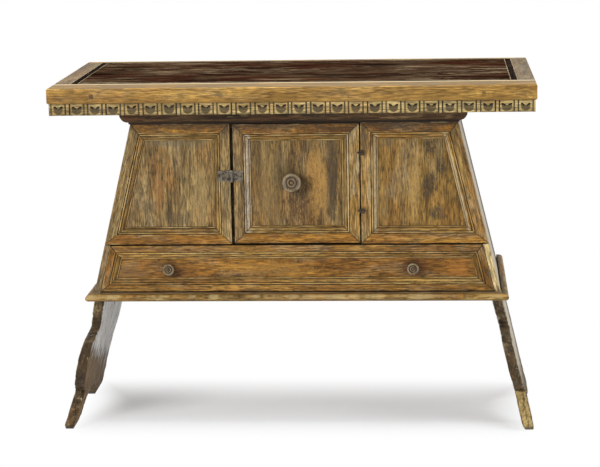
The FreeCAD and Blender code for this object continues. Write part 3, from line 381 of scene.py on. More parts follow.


# Painted shadow under the overhang of the top.
SHADED_TOP = (0, 722, 1600, 34, (0.07, 0.042, 0.022), 0.85)
SHADOW_UNDER_TOP = smudged(SHADED_TOP, pale_specks=False)
NAIL_SPOTS = smudged(
    (0, 770, 1500, 17, (0.25, 0.135, 0.028), 0.55),
    (-448, 792, 8.5, 6.5, (0.07, 0.04, 0.016), 1.0),
    (-274, 789, 22, 4.2, (0.2, 0.12, 0.045), 0.9),
    (-159, 794, 15, 6.5, (0.16, 0.105, 0.045), 0.9),
    (122, 794, 15, 6.5, (0.16, 0.105, 0.045), 0.9),
    (433, 791, 8.5, 6, (0.07, 0.04, 0.016), 1.0),
    (515, 790, 12, 9, (0.16, 0.085, 0.03), 0.8), grit=120.0, pale_specks=False)
DOOR_SPOTS = smudged(
    (-60, 560, 40, 130, (0.235, 0.16, 0.062), 0.6),
    (50, 584, 36, 105, (0.44, 0.24, 0.062), 0.9),
    (6, 515, 36, 42, (0.08, 0.036, 0.012), 0.9),
    # A dark stain with the painted shadow of the knob, to its right and below.
    (14, 566, 38, 40, (0.04, 0.02, 0.01), 0.85),
    (87, 584, 13, 110, (0.07, 0.05, 0.028), 0.9),
    (-30, 625, 16, 34, (0.11, 0.085, 0.045), 0.6))
LEFT_SPOTS = smudged(
    (-316, 561, 14, 80, (0.3, 0.13, 0.036), 0.6),
    (-221, 546, 24, 90, (0.35, 0.24, 0.095), 0.55),
    (-273, 494, 36, 22, (0.09, 0.062, 0.034), 0.7),
    (-341, 517, 28, 22, (0.1, 0.07, 0.035), 0.6),
    (-290, 672, 100, 14, (0.13, 0.105, 0.065), 0.6))
RIGHT_SPOTS = smudged(
    (276, 568, 20, 100, (0.48, 0.31, 0.105), 0.6),
    (311, 656, 18, 26, (0.05, 0.034, 0.018), 0.95),
    (307, 565, 23, 36, (0.05, 0.034, 0.018), 1.0),
    (338, 606, 18, 26, (0.05, 0.034, 0.018), 0.95),
    (322, 505, 21, 21, (0.06, 0.042, 0.022), 0.9),
    (215, 669, 24, 15, (0.12, 0.09, 0.045), 0.7),
    (205, 520, 16, 60, (0.21, 0.14, 0.05), 0.55))
DRAWER_SPOTS = smudged(
    (-60, 374, 130, 24, (0.43, 0.23, 0.052), 0.55),
    (371, 375, 36, 22, (0.4, 0.155, 0.03), 0.65),
    (-385, 366, 60, 34, (0.2, 0.115, 0.045), 0.6),
    (278, 372, 36, 26, (0.12, 0.042, 0.014), 0.85),
    (-285, 368, 34, 24, (0.09, 0.042, 0.018), 0.8))
# The painted shadow under the top, a dark spot at the post's head and a pale streak down it.
POST_SPOTS = smudged(
    SHADED_TOP, (165, 690, 12, 40, (0.09, 0.062, 0.034), 0.9),
    (172, 560, 5, 60, (0.46, 0.37, 0.22), 0.55))
# Painted highlights down the mouldings: an upright and a slanting one on the right panel, one at each side of
# the door.
UPRIGHT_HIGHLIGHT = smudged((186, 575, 8.5, 200, (0.5, 0.4, 0.235), 0.75))
SLANT_HIGHLIGHT = smudged((514.2, 575, 5, 165, (0.6, 0.49, 0.31), 0.95), lean=LEAN)
DOOR_SIDE_HIGHLIGHTS = smudged(
    (123.5, 575, 3.4, 200, (0.62, 0.52, 0.34), 0.8),
    (-107.5, 575, 9.5, 200, (0.56, 0.49, 0.37), 0.85))


def bead_highlights(tree, plain, along, colour):
    """The painted highlight down the upright bead at the left and down the slanting one at the right."""
    return SLANT_HIGHLIGHT(tree, plain, along, UPRIGHT_HIGHLIGHT(tree, plain, along, colour))


# From and to: where the rail's upper face starts, and where its rubbed back edge lies.
UPPER_FACE, BACK_EDGE = (0.8088, 0.8096), (-0.211, -0.207)


def rail_with_face(tree, plain, along, colour):
    """The rail's spots, then a darker upper face with a rubbed line along its back edge."""
    place = wired(tree, "SeparateXYZ", {0: plain}).outputs
    colour = NAIL_SPOTS(tree, plain, along, colour)
    above = spread(tree, place["Z"], *UPPER_FACE)
    patchy = noise(tree, plain, (1.0, 3.0, 3.0), 9.0, 7.0, 0.6, 0.7)
    upper = mixed(tree, spread(tree, patchy, 0.42, 0.58, 0.45, 0.92), colour, (0.118, 0.076, 0.027))
    upper = mixed(tree, spread(tree, place["Y"], *BACK_EDGE, 0.0, 0.7), upper, (0.62, 0.5, 0.3))
    return mixed(tree, above, colour, upper)


# Deep tone, light tone and cover of each kind of aged wood, in the order they are laid. The pale one is
# painted light, and bleached is bleached wood with a painted sheen.
AGED = {
    "brown": ((0.12, 0.06, 0.012), (0.215, 0.122, 0.03), 0.88),
    "pale": ((0.7, 0.68, 0.64), (0.96, 0.95, 0.93), 0.95),
    "bleached": ((0.36, 0.29, 0.185), (0.76, 0.7, 0.58), 0.85),
    "dark": ((0.02, 0.011, 0.005), (0.066, 0.04, 0.019), 0.75),
    "bare": ((0.38, 0.25, 0.08), (0.68, 0.5, 0.205), 0.82),
}
CRACKS = smudged(
    (534.5, 14, 1.6, 14, (0.05, 0.028, 0.012), 1.0),
    (530.5, 36, 1.8, 18, (0.05, 0.028, 0.012), 1.0),
    (526.5, 60, 3, 14, (0.06, 0.036, 0.016), 1.0),
    (547, 8, 5, 8, (0.16, 0.09, 0.035), 0.9),
    (523, 40, 1.4, 3, (0.02, 0.012, 0.006), 1.0), grit=160.0, pale_specks=False)


def aged_leg(tree, plain, along, colour):
    """Streaked brown, pale painted light, bleached wood with painted sheen, dark and bare wood by the plank's
    own values; then cracks.
    """
    ragged = spread(tree, noise(tree, along, (1.0, 3.0, 3.0), 22.0, 7.0, 0.5, 0.7), 0.36, 0.64, -0.5, 0.5)
    streaks = spread(tree, noise(tree, along, (1.2, 12.0, 12.0), 9.0, 7.0, 0.4, 0.7), 0.36, 0.62)
    for title, (deep, light, cover) in AGED.items():
        shaded = mixed(tree, cover, colour, mixed(tree, streaks, deep, light))
        place = maths(tree, "ADD", own_value(tree, title), ragged)
        colour = mixed(tree, spread(tree, place, 0.35, 0.9), colour, shaded)
    return CRACKS(tree, plain, along, colour)


# Dark, middle and light tone of each kind of wood.
HONEY = ((0.155, 0.088, 0.021), (0.27, 0.158, 0.04), (0.4, 0.25, 0.073))
EDGE_HONEY = ((0.2, 0.106, 0.023), (0.315, 0.174, 0.039), (0.42, 0.25, 0.063))
BROWN = ((0.14, 0.058, 0.009), (0.255, 0.112, 0.015), (0.37, 0.182, 0.03))
OLIVE = ((0.12, 0.074, 0.026), (0.21, 0.135, 0.049), (0.32, 0.218, 0.084))
DOOR = ((0.095, 0.055, 0.017), (0.175, 0.105, 0.034), (0.27, 0.172, 0.058))
FIELD = ((0.14, 0.078, 0.016), (0.248, 0.138, 0.03), (0.375, 0.222, 0.056))
UMBER = ((0.1, 0.058, 0.021), (0.2, 0.122, 0.045), (0.33, 0.218, 0.086))
DARK = ((0.024, 0.014, 0.007), (0.065, 0.032, 0.013), (0.13, 0.068, 0.027))
CLAMP = ((0.048, 0.031, 0.012), (0.094, 0.062, 0.025), (0.158, 0.107, 0.045))
RAIL = ((0.175, 0.082, 0.018), (0.3, 0.15, 0.03), (0.42, 0.225, 0.05))
STRIP = ((0.13, 0.085, 0.038), (0.225, 0.155, 0.074), (0.33, 0.24, 0.125))
CREAM = ((0.46, 0.33, 0.14), (0.6, 0.45, 0.21), (0.72, 0.57, 0.3))
LEG = ((0.035, 0.021, 0.01), (0.085, 0.053, 0.023), (0.18, 0.12, 0.056))
PLAIN = ((0.22, 0.14, 0.07), (0.32, 0.21, 0.11), (0.42, 0.29, 0.16))

NOSING_WEAR = {"wear": 0.55, "patch": 0.3, "worn": (0.54, 0.4, 0.18)}
WAXED = {"dry": (0.1, 0.065, 0.03), "warm": (0.13, 0.045, 0.014), "worn": (0.34, 0.23, 0.1), "wear": 0.6}
LEG_WEAR = {"warmth": 0.15, "bump": 1.0, "extra": aged_leg}

# The boards, the axis of the grain, dark, middle and light tone, and changes to the recipe.
BOARD_ROWS = (
    ("top_front_rail", "x", EDGE_HONEY,
     {"patch": 0.25, "warmth": 0.25, "flecks": 0.15, "bump": 0.3, "extra": rail_with_face}),
    ("top_back_rail", "x", HONEY),
    ("top_end_clamps", "y", CLAMP, {"patch": 0.3, "warmth": 0.3}),
    ("frieze_rail_front", "x", DARK),
    ("frieze_rail_back", "x", PLAIN),
    ("top_bearers", "y", PLAIN),
    ("left_panel_stiles", "run", OLIVE, {"extra": SHADOW_UNDER_TOP}),
    ("right_panel_stiles", "run", HONEY, {"extra": POST_SPOTS}),
    ("left_panel_rails right_panel_rails", "run", BROWN, {"extra": SHADOW_UNDER_TOP}),
    ("left_panel_moulding", "run", HONEY),
    ("right_panel_moulding", "run", EDGE_HONEY, {"extra": bead_highlights}),
    ("left_panel_field", "z", OLIVE, {"grime_reach": 0.03, "extra": LEFT_SPOTS}),
    ("right_panel_field", "z", FIELD, {"grime_reach": 0.03, "extra": RIGHT_SPOTS}),
    ("door_hinge_stile", "run", EDGE_HONEY, {"dry": (0.42, 0.345, 0.21), "patch": 0.75}),
    ("door_lock_stile", "run", UMBER, {"extra": SHADOW_UNDER_TOP}),
    ("door_rails", "run", BROWN, {"extra": SHADOW_UNDER_TOP}),
    ("door_moulding", "run", HONEY, {"extra": DOOR_SIDE_HIGHLIGHTS}),
    ("door_field", "z", DOOR, {"grime_reach": 0.03, "warmth": 0.4, "patch": 0.3, "extra": DOOR_SPOTS}),
    ("drawer_front_board", "x", BROWN, {"grime_reach": 0.03, "extra": DRAWER_SPOTS}),
    ("drawer_front_rails", "run", RAIL, {"grime_reach": 0.006}),
    ("drawer_front_ends", "run", BROWN),
    ("drawer_front_moulding", "run", EDGE_HONEY),
    ("drawer_left_side drawer_right_side", "y", PLAIN),
    ("drawer_back drawer_bottom", "x", PLAIN),
    ("left_edge_strip", "left slope", STRIP),
    ("right_edge_strip", "right slope", CREAM, {"patch": 0.1, "warmth": 0.2}),
    ("base_moulding_front base_moulding_left base_moulding_right", "run", HONEY, NOSING_WEAR),
    ("cornice_front cornice_left cornice_right", "run", DARK, WAXED),
    ("left_cheek", "left slope", LEG, LEG_WEAR),
    ("right_cheek", "right slope", LEG, LEG_WEAR),
    ("bottom_board dust_board case_top_board", "x", PLAIN),
    ("back_boards left_door_post right_door_post", "z", PLAIN),
    ("left_drawer_guide right_drawer_guide", "y", PLAIN),
)
BOARDS = {
    name: (grain, tones, dict(*changes))
    for names, grain, tones, *changes in BOARD_ROWS for name in names.split()
}


def dressed(node, material):
    """The node shows this one material."""
    node.data.materials.clear()
    node.data.materials.append(material)


def wood_for(name, place, **usual):
    """The walnut that the table gives a board; its own changes come before the usual ones."""
    grain, tones, changes = BOARDS[name]
    return walnut(f"walnut {name}", grain, tones, place=place, **usual | changes)


for number, name in enumerate(BOARDS, 1):
    if BOARDS[name][0] != "run":
        dressed(nodes[name], wood_for(name, 0.37 * number))
print("plain boards dressed; the frames and mouldings of the", len(BOARDS), "are still to be made")

# %% [markdown]
# ## The worn top
# The middle board of the top is dark red-brown and scratched pale along its length. It takes the same recipe
# with darker tones, and long thin scratches over it.

# %% Dress the middle of the top
def pale_scratches(tree, plain, along, colour):
    """Thin pale streaks along the board: very long noise past a high threshold, thinned by slow patches."""
    streaks = noise(tree, along, (2.2, 18.0, 18.0), 3.4, 8.0, 0.8, 0.74)
    where = noise(tree, along, (1.0, 2.5, 2.5), 3.0, 4.0)
    mask = times(tree, spread(tree, streaks, 0.52, 0.6), spread(tree, where, 0.44, 0.56))
    return coated(tree, colour, mask, 0.66, (0.3, 0.222, 0.132))


TOP_RED = ((0.007, 0.003, 0.002), (0.02, 0.007, 0.004), (0.052, 0.023, 0.011))
dressed(nodes["top_centre_board"], walnut(
    "worn top", "x", TOP_RED, dry=(0.1, 0.07, 0.038), warm=(0.05, 0.014, 0.006), patch=0.45, wear=0.3,
    gloss=(0.7, 0.9), specular=0.0, place=5.1, extra=pale_scratches,
))
print("top board dressed")

# %% [markdown]
# ## Iron
# The hinge loops and the hasp are hand-forged: dark, dull, a little brown with old rust, darker in the
# hollows with grime and painted shade, and rubbed to grey on the edges. The hasp is handled more, so it is
# paler.

# %% Iron recipe
def forged_iron(title, bare, rusty, worn):
    """Dark iron with hammer dents in the bump, rust, grime and painted shade in the hollows, and rubbed
    edges.
    """
    material, tree, shader = new_material(title)
    plain = wired(tree, "TexCoord").outputs["Object"]
    dents = noise(tree, plain, (1.0, 1.0, 1.0), 190.0, 3.0)
    rust = noise(tree, plain, (1.0, 1.0, 1.0), 105.0, 6.0, 0.3, 0.65)
    colour = mixed(tree, spread(tree, rust, 0.46, 0.56), bare, rusty)
    # Grime and painted shade, near black, in the hollows.
    colour = mixed(tree, placed(tree, GRIME_AND_SHADE, Vector=plain, Reach=0.006)["Mask"], colour, (0.01, 0.008, 0.006))
    relief = {"Strength": 0.5, "Distance": 0.0006, "Height": dents}
    fill(tree, shader, {
        "Base Color": mixed(tree, placed(tree, EDGE_WEAR, Vector=plain, Radius=0.0012)["Mask"], colour, worn),
        "Roughness": spread(tree, rust, 0.4, 0.6, 0.5, 0.75),
        "Metallic": spread(tree, rust, 0.4, 0.65, 0.35, 0.05),
        "Normal": wired(tree, "Bump", relief).outputs["Normal"],
    })
    return material


HASP_IRON = forged_iron("hasp iron", (0.145, 0.12, 0.083), (0.024, 0.016, 0.01), (0.5, 0.44, 0.35))
HINGE_IRON = forged_iron("hinge iron", (0.05, 0.038, 0.026), (0.012, 0.008, 0.005), (0.2, 0.16, 0.11))
IRON_NODES = {
    HASP_IRON: ("hasp_plate", "hasp_leaf", "hasp_pin", "hasp_staple"),
    HINGE_IRON: ("door_hinge_loops", "post_hinge_loops"),
}
for iron, names in IRON_NODES.items():
    for name in names:
        dressed(nodes[name], iron)
    print(iron.name, "on", ", ".join(names))

# %% [markdown]
# ## Surfaces from arrays
# Each new piece is a grid of points worked out at once with numpy: a row for each step along one direction
# and a column for each step along the other. One helper turns such a grid into a mesh, joins its last column
# to its first where the shape goes round, and closes its two ends with a cap.

# %% Grid helper
LATTICE = (97, 89)  # random values across and up, before the hills repeat


def finish_mesh(mesh, **values):
    """Smooth faces, and values per point that the mesh keeps for its material."""
    mesh.shade_smooth()
    for title, value in values.items():
        mesh.attributes.new(title, "FLOAT", "POINT").data.foreach_set("value", value.ravel())


def piece_from(name, points, faces, body, material, slot, uv, *replaced, **values):
    """A mesh piece that rides on a body and stands for the replaced solids. uv and values go by point.

    Its faces are turned round if the volume they enclose is negative. That volume is the sum over all
    triangles of (p0 . (p1 x p2)) / 6.
    """
    mesh = bpy.data.meshes.new(name)
    mesh.from_pydata(points.tolist(), [], faces)
    mesh.update()
    mesh.calc_loop_triangles()
    corners = np.empty(len(mesh.loop_triangles) * 3, int)
    mesh.loop_triangles.foreach_get("vertices", corners)
    p0, p1, p2 = np.moveaxis(points[corners.reshape(-1, 3)], 1, 0)
    if np.einsum("ij,ij->i", p0, np.cross(p1, p2)).sum() < 0:
        mesh.flip_normals()
    loops = np.empty(len(mesh.loops), int)
    mesh.loops.foreach_get("vertex_index", loops)
    mesh.uv_layers.new(name="UVMap").data.foreach_set("uv", uv[loops].ravel())
    finish_mesh(mesh, **values)
    piece = bpy.data.objects.new(name, mesh)
    scene.collection.objects.link(piece)
    mesh.materials.append(material)
    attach(piece, body)
    if replaced:
        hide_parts(*replaced)
    return piece


def tube_faces(rows, columns):
    """Quads between neighbours of a grid whose last column meets its first, and a cap at each end row."""
    last = (rows - 1) * columns
    row, column = np.arange(0, last, columns)[:, None], np.arange(columns)[None, :]
    following = (column + 1) % columns
    quads = np.stack([
        row + column, row + following, row + columns + following, row + columns + column,
    ], axis=-1)
    caps = [list(range(columns)), list(range(last + columns - 1, last - 1, -1))]
    return quads.reshape(-1, 4).tolist() + caps


def hills(u, v, seed):
    """Smooth heights from -1 to 1: random values on a lattice of unit squares, blended by 3t^2 - 2t^3."""
    wide, tall = LATTICE
    lattice = np.random.default_rng(seed).uniform(-1.0, 1.0, LATTICE)
    column, row = np.floor(u).astype(int), np.floor(v).astype(int)
    across, up = u - column, v - row
    across, up = across ** 2 * (3 - 2 * across), up ** 2 * (3 - 2 * up)
    column, after = column % wide, (column + 1) % wide
    low, high = (
        lattice[column, level % tall] * (1 - across) + lattice[after, level % tall] * across
        for level in (row, row + 1))
    return low * (1 - up) + high * up

# %% [markdown]
# ## Runs of wood
# Frame members, mouldings and bands are all runs: one section carried from one mitre to the next. A run lies
# between an outer and an inner line. A point of the section is a share of the way across from the one to the
# other and a depth below the face. Old edges aren't straight, so small hills push the face down a little, and
# deeper dents appear along the edges. The map of the run keeps true lengths, so its grain follows the run.

# %% Run helper
RUN_STEP = 0.0025
HILL_SIZE, DENT_LENGTH, EDGE_WIDTH = (0.03, 0.012), 0.006, 0.003
OWN_PLACE = 1.31  # how far apart two runs lie in the grain


def run_of_wood(start, end, deep, section, number, rough=0.0003, chips=0.0012):
    """Points, map, crest values and step count of one run.

    start and end are (outer, inner) pairs of points. A point is outer + (inner - outer) * across + deep *
    depth, with outer and inner moving evenly from start to end. depth grows by rough * hills and, near both
    long edges, by chips where finer hills pass a threshold. A section gives across, depth and crest.
    """
    start, end, deep = np.array(start), np.array(end), np.array(deep, float)
    length = np.linalg.norm(end[0] - start[0])
    width = np.linalg.norm(start[1] - start[0])
    count = max(3, int(length / RUN_STEP))  # at least both ends and a middle
    share = np.linspace(0, 1, count)[:, None, None]
    outer = start[0] * (1 - share) + end[0] * share
    inner = start[1] * (1 - share) + end[1] * share
    across, depth = section[:, 0][None, :], section[:, 1][None, :]
    travelled = share[:, :, 0] * length
    face = depth < 0.7 * section[:, 1].max()  # the back of the section keeps its place
    undulating = rough * (1 + hills(travelled / HILL_SIZE[0], across * width / HILL_SIZE[1] + 7, number)) / 2
    dents = np.clip(hills(travelled / DENT_LENGTH, across * 3, number + 50) - 0.45, 0, 1) * 2
    near_edge = np.clip(1 - np.minimum(across, 1 - across) * width / EDGE_WIDTH, 0, 1)
    depth = depth + face * (undulating + chips * dents * near_edge)
    points = outer + (inner - outer) * across[..., None] + deep * depth[..., None]
    direction = (end[0] - start[0]) / length
    towards = (start[1] - start[0]) - direction * np.dot(start[1] - start[0], direction)
    towards /= np.linalg.norm(towards)
    flat = points.reshape(-1, 3)
    uv = np.stack([flat @ direction + OWN_PLACE * number, flat @ towards + depth.reshape(-1)], axis=1)
    at_mitre = (share[:, :, 0] == 0) | (share[:, :, 0] == 1)
    crest = (section[:, 2] - 1.5 * at_mitre).reshape(-1)
    return flat, uv, crest, count


def joined_runs(name, runs, body, material, slot, *replaced):
    """Several runs as one piece that stands for the named solids."""
    section_size = len(runs[0][0]) // runs[0][3]
    points, uv, crest = (np.concatenate([run[column] for run in runs]) for column in range(3))
    faces, first = [], 0
    for run_points, _, _, count in runs:
        faces += [[first + corner for corner in face] for face in tube_faces(count, section_size)]
        first += len(run_points)
    piece_from(name, points, faces, body, material, slot, uv, *replaced, crest=crest)


def flat_section(width, thickness, rounding=0.0012, rows=9, proud=0.75):
    """A flat board's section; its two long face edges are quarter circles and are worn pale, partly a painted
    highlight, the middle less.
    """
    angle = np.linspace(0, math.pi / 2, 4)
    left = np.column_stack([rounding * (1 - np.cos(angle)) / width, rounding * (1 - np.sin(angle))])
    middle = np.linspace(0, 1, rows + 2)[1:-1]
    return np.concatenate([
        [[0, thickness, -1]],
        np.column_stack([left, np.linspace(-0.3, proud, 4)]),
        np.column_stack([middle, 0 * middle, 0 * middle]),
        np.column_stack([1 - left[::-1, 0], left[::-1, 1], np.linspace(proud, -0.3, 4)]),
        [[1, thickness, -1]],
    ])

# %% [markdown]
# ## The panel frames
# The front has four frames: one on each fixed side panel, one on the door, and one on the drawer. The outer
# ones lean with the planks. Each is four flat members, then four runs of moulding, all mitred. The moulding's
# section goes bead, quirk, ovolo and a small fillet on the field. Its columns are across, depth and crest.

# %% Lay out the frames
FOOT_HALF = 0.551
LEVEL_OF_SLANT = math.sqrt(1 + LEAN ** 2)  # level width of a leaning strip, as a share of its own width
FACE = -0.19
MOULDING_WIDTH = 0.017
BACKWARDS = (0.0, 1.0, 0.0)


def plank_edge(height):
    """Distance from the middle to the plank's outer face at a height."""
    return FOOT_HALF - LEAN * height


def frame_corners(left, right, low, high, inset):
    """Corners from low left round to high left; left and right are functions of height and inset."""
    low, high = low + inset, high - inset
    return [(side(z, inset), FACE, z) for side, z in ((left, low), (right, low), (right, high), (left, high))]


def upright(x, sign):
    """An upright edge: the same x at every height, drawn in by the inset."""
    return lambda height, inset: x + sign * inset


def leaning(sign, gap=0.0):
    """An edge along a plank, a level gap inside its outer face."""
    return lambda height, inset: -sign * (plank_edge(height) - gap) + sign * inset * LEVEL_OF_SLANT


OVOLO = np.array([
    (0, 9, -1), (0, 3.4, -1), (0.7, 3.2, -0.9), (1.1, 1.6, -0.2), (1.8, 0.7, 0.5), (2.9, 0.35, 1),
    (4, 0.6, 0.6), (4.8, 1.4, -0.2), (5.2, 2.8, -1), (5.6, 3.3, -1), (6.1, 3.1, -0.8), (6.5, 2.2, 0.2),
    (7.8, 2.1, 0.4), (9.4, 2.6, 0.1), (10.9, 3.5, 0), (12.2, 4.8, -0.2), (13, 6.2, -0.7), (13.3, 7.2, -1),
    (13.9, 7.5, -0.5), (14.4, 7, 0.6), (15.6, 6.9, 0.9), (16.4, 7.2, 0.3), (16.8, 7.9, -0.8), (17, 9, -1),
]) * (1 / 17.0, 0.001, 1.0)
# Left edge, right edge, foot, head, width and thickness of the members, body, and which sides each solid has.
FRAMES = {
    "left_panel": (leaning(1), upright(-0.147, -1), 0.434, 0.716, 0.023, 0.018, "case",
                   {"left_panel_rails": (0, 2), "left_panel_stiles": (1, 3)}),
    "right_panel": (upright(0.153, 1), leaning(-1), 0.434, 0.716, 0.023, 0.018, "case",
                    {"right_panel_rails": (0, 2), "right_panel_stiles": (1, 3)}),
    "door": (upright(-0.14, 1), upright(0.15, -1), 0.436, 0.714, 0.023, 0.0175, "door",
             {"door_rails": (0, 2), "door_hinge_stile": (1,), "door_lock_stile": (3,)}),
    "drawer_front": (leaning(1, 0.014), leaning(-1, 0.014), 0.322, 0.4305, 0.015, 0.009, "drawer",
                     {"drawer_front_rails": (0, 2), "drawer_front_ends": (1, 3)}),
}


def side_of(corners_out, corners_in, index):
    """The mitre lines at both ends of one side of a frame."""
    after = (index + 1) % 4
    return (corners_out[index], corners_in[index]), (corners_out[after], corners_in[after])


for number, (frame_name, parts) in enumerate(FRAMES.items()):
    left, right, low, high, flat, thickness, body, members = parts
    corners = [frame_corners(left, right, low, high, inset) for inset in (0.0, flat, flat + MOULDING_WIDTH)]
    section = flat_section(flat, thickness)
    for name, sides in members.items():
        runs = [
            run_of_wood(*side_of(corners[0], corners[1], side), BACKWARDS, section, 10 * number + side)
            for side in sides
        ]
        joined_runs(f"worn_{name}", runs, body, wood_for(name, 0.2 + number), "honey_walnut", name)
    name = f"{frame_name}_moulding"
    material = wood_for(name, 0.7 + number, grime_reach=0.006, edge_radius=0.001, wear=0.7, patch=0.3,
                        worn=(0.56, 0.4, 0.17))
    runs = [
        run_of_wood(*side_of(corners[1], corners[2], side), BACKWARDS, OVOLO, 10 * number + 5 + side)
        for side in range(4)
    ]
    joined_runs(f"worn_{name}", runs, body, material, "honey_walnut", name)
print(len(FRAMES), "frames laid out")

# %% [markdown]
# ## Nosing and cornice
# Two more mouldings go round three sides: a rounded nosing at the foot of the case, and the deep cornice
# under the top. They are runs as well, laid from an outer line to an inner one, with the depth going down.

# %% Lay the nosing and the cornice
CASE_BACK = 0.235
DOWNWARDS = (0.0, 0.0, -1.0)
NOSING = np.array([
    (1, 17, -1), (1, 0, -0.9), (0.8, 0, -0.3), (0.6, 0.1, 0.2), (0.45, 0.4, 0.5), (0.3, 1.2, 0.8),
    (0.17, 2.5, 0.9), (0.07, 4.6, 0.8), (0.015, 7, 0.7), (0, 8.8, 0.7), (0.03, 11, 0.5), (0.1, 13.2, 0.2),
    (0.22, 15.2, -0.3), (0.36, 16.4, -0.8), (0.55, 17, -1),
]) * (1.0, 0.001, 1.0)
CORNICE = np.array([
    (1, 59, -1), (1, 0, -1), (0, 0, -1), (0, 10, -1), (0, 20, 0.2), (0.03, 21, -0.8), (0.12, 23, -0.8),
    (0.24, 25.5, -0.4), (0.29, 28, 0.3), (0.305, 31.2, 0.1), (0.315, 34, -0.7), (0.33, 35.2, 0.3),
    (0.35, 39, 0.2), (0.4, 43.2, 0.3), (0.47, 47, 0.5), (0.56, 50.4, 0.3), (0.68, 53, 0), (0.8, 54.5, -0.7),
    (0.9, 55, -1), (0.9, 59, -1),
]) * (1.0, 0.001, 1.0)


def wrapped(name, half, front, reach, top, section, seed, slot):
    """Three pieces, front, left and right, mitred at the front corners, that stand for the same solids."""
    (left, right), (back_left, back_right) = (
        [((side * (half + reach), y - out, top), (side * half, y, top)) for side in (-1, 1)]
        for y, out in ((front, reach), (CASE_BACK, 0.0)))
    for number, (word, start, end) in enumerate((
        ("front", left, right), ("left", back_left, left), ("right", right, back_right),
    )):
        solid = f"{name}_{word}"
        run = run_of_wood(start, end, DOWNWARDS, section, seed + number, 0.0006, 0.002)
        joined_runs(f"worn_{solid}", [run], "case", wood_for(solid, 0.4 + seed), slot, solid)


wrapped("base_moulding", plank_edge(0.3115), -0.202, 0.016, 0.32, NOSING, 61, "honey_walnut")
wrapped("cornice", plank_edge(0.716), FACE, 0.032, 0.775, CORNICE, 71, "dark_walnut")
print("nosing and cornice laid")

# %% [markdown]
# ## The inlaid band
# A black band runs round the middle board of the top, with a thin pale string at each side of it. All three
# are let in flush, so each is a closed ring of four mitred runs. The band has sunk a little.

# %% Inlay the band
BAND_SIDES = (-0.51, 0.51, -0.196, 0.261)  # left, right, front, back
BAND_TOP = 0.81


def ring_corners(inset):
    """Corners of the ring, drawn in by an inset."""
    left, right, front, back = np.array(BAND_SIDES) + np.array((1, -1, 1, -1)) * inset
    return [(x, y, BAND_TOP) for x, y in ((left, front), (right, front), (right, back), (left, back))]


def ring(outer, inner, seed, rough, sunk=0.0):
    """Four runs between two insets of the ring."""
    section = flat_section(inner - outer, 0.003, 0.0002, 3, 0.0) + (0.0, sunk, 0.0)
    sides = [side_of(ring_corners(outer), ring_corners(inner), side) for side in range(4)]
    return [
        run_of_wood(*lines, DOWNWARDS, section, seed + side, rough, 0.0) for side, lines in enumerate(sides)]


BLACK = ((0.005, 0.004, 0.004), (0.01, 0.008, 0.007), (0.022, 0.016, 0.013))
PALE = ((0.15, 0.115, 0.065), (0.26, 0.205, 0.125), (0.42, 0.35, 0.23))
joined_runs("dark_band", ring(0.0008, 0.0145, 81, 0.0004, 0.0002), "case", walnut(
    "black band", "run", BLACK, dry=(0.05, 0.035, 0.022), warm=(0.02, 0.01, 0.006), patch=0.3, wear=0.1,
    grime=0.2, gloss=(0.6, 0.8), specular=0.0), "dark_band", "top_inlay_band")
joined_runs("pale_stringing", ring(0.0, 0.0008, 85, 0.0) + ring(0.0145, 0.016, 89, 0.0), "case", walnut(
    "pale stringing", "run", PALE, dry=(0.1, 0.07, 0.04), patch=0.9, warmth=0.3, wear=0.0, grime=0.2,
    specular=0.1), "honey_walnut")
print("band inlaid")

# %% [markdown]
# ## The carved strips
# Under the top's edge runs a strip of small cut cells. Each cell is a rounded square with a tongue gouged out
# of it: deep under a stop cut at the top, where a small lobe hangs between two horns, and running out shallow
# at the foot. Between cells stands a narrow bar with a groove at each side. The strip is one height field:
# the depth of the cut at each place along it and up it. The shade in the cuts is painted too, darkest under
# the horns. No two cells are cut quite alike.

# %% Carve the strips
STRIP_HEIGHT, STRIP_THICK = 0.027, 0.014
STRIP_LOW = 0.748
COLUMNS_PER_CELL, ROWS_UP = 36, 34


def soft_step(value, low, high):
    """0 below low, 1 above high, 3t^2 - 2t^3 between."""
    t = np.clip((value - low) / (high - low), 0, 1)
    return t * t * (3 - 2 * t)


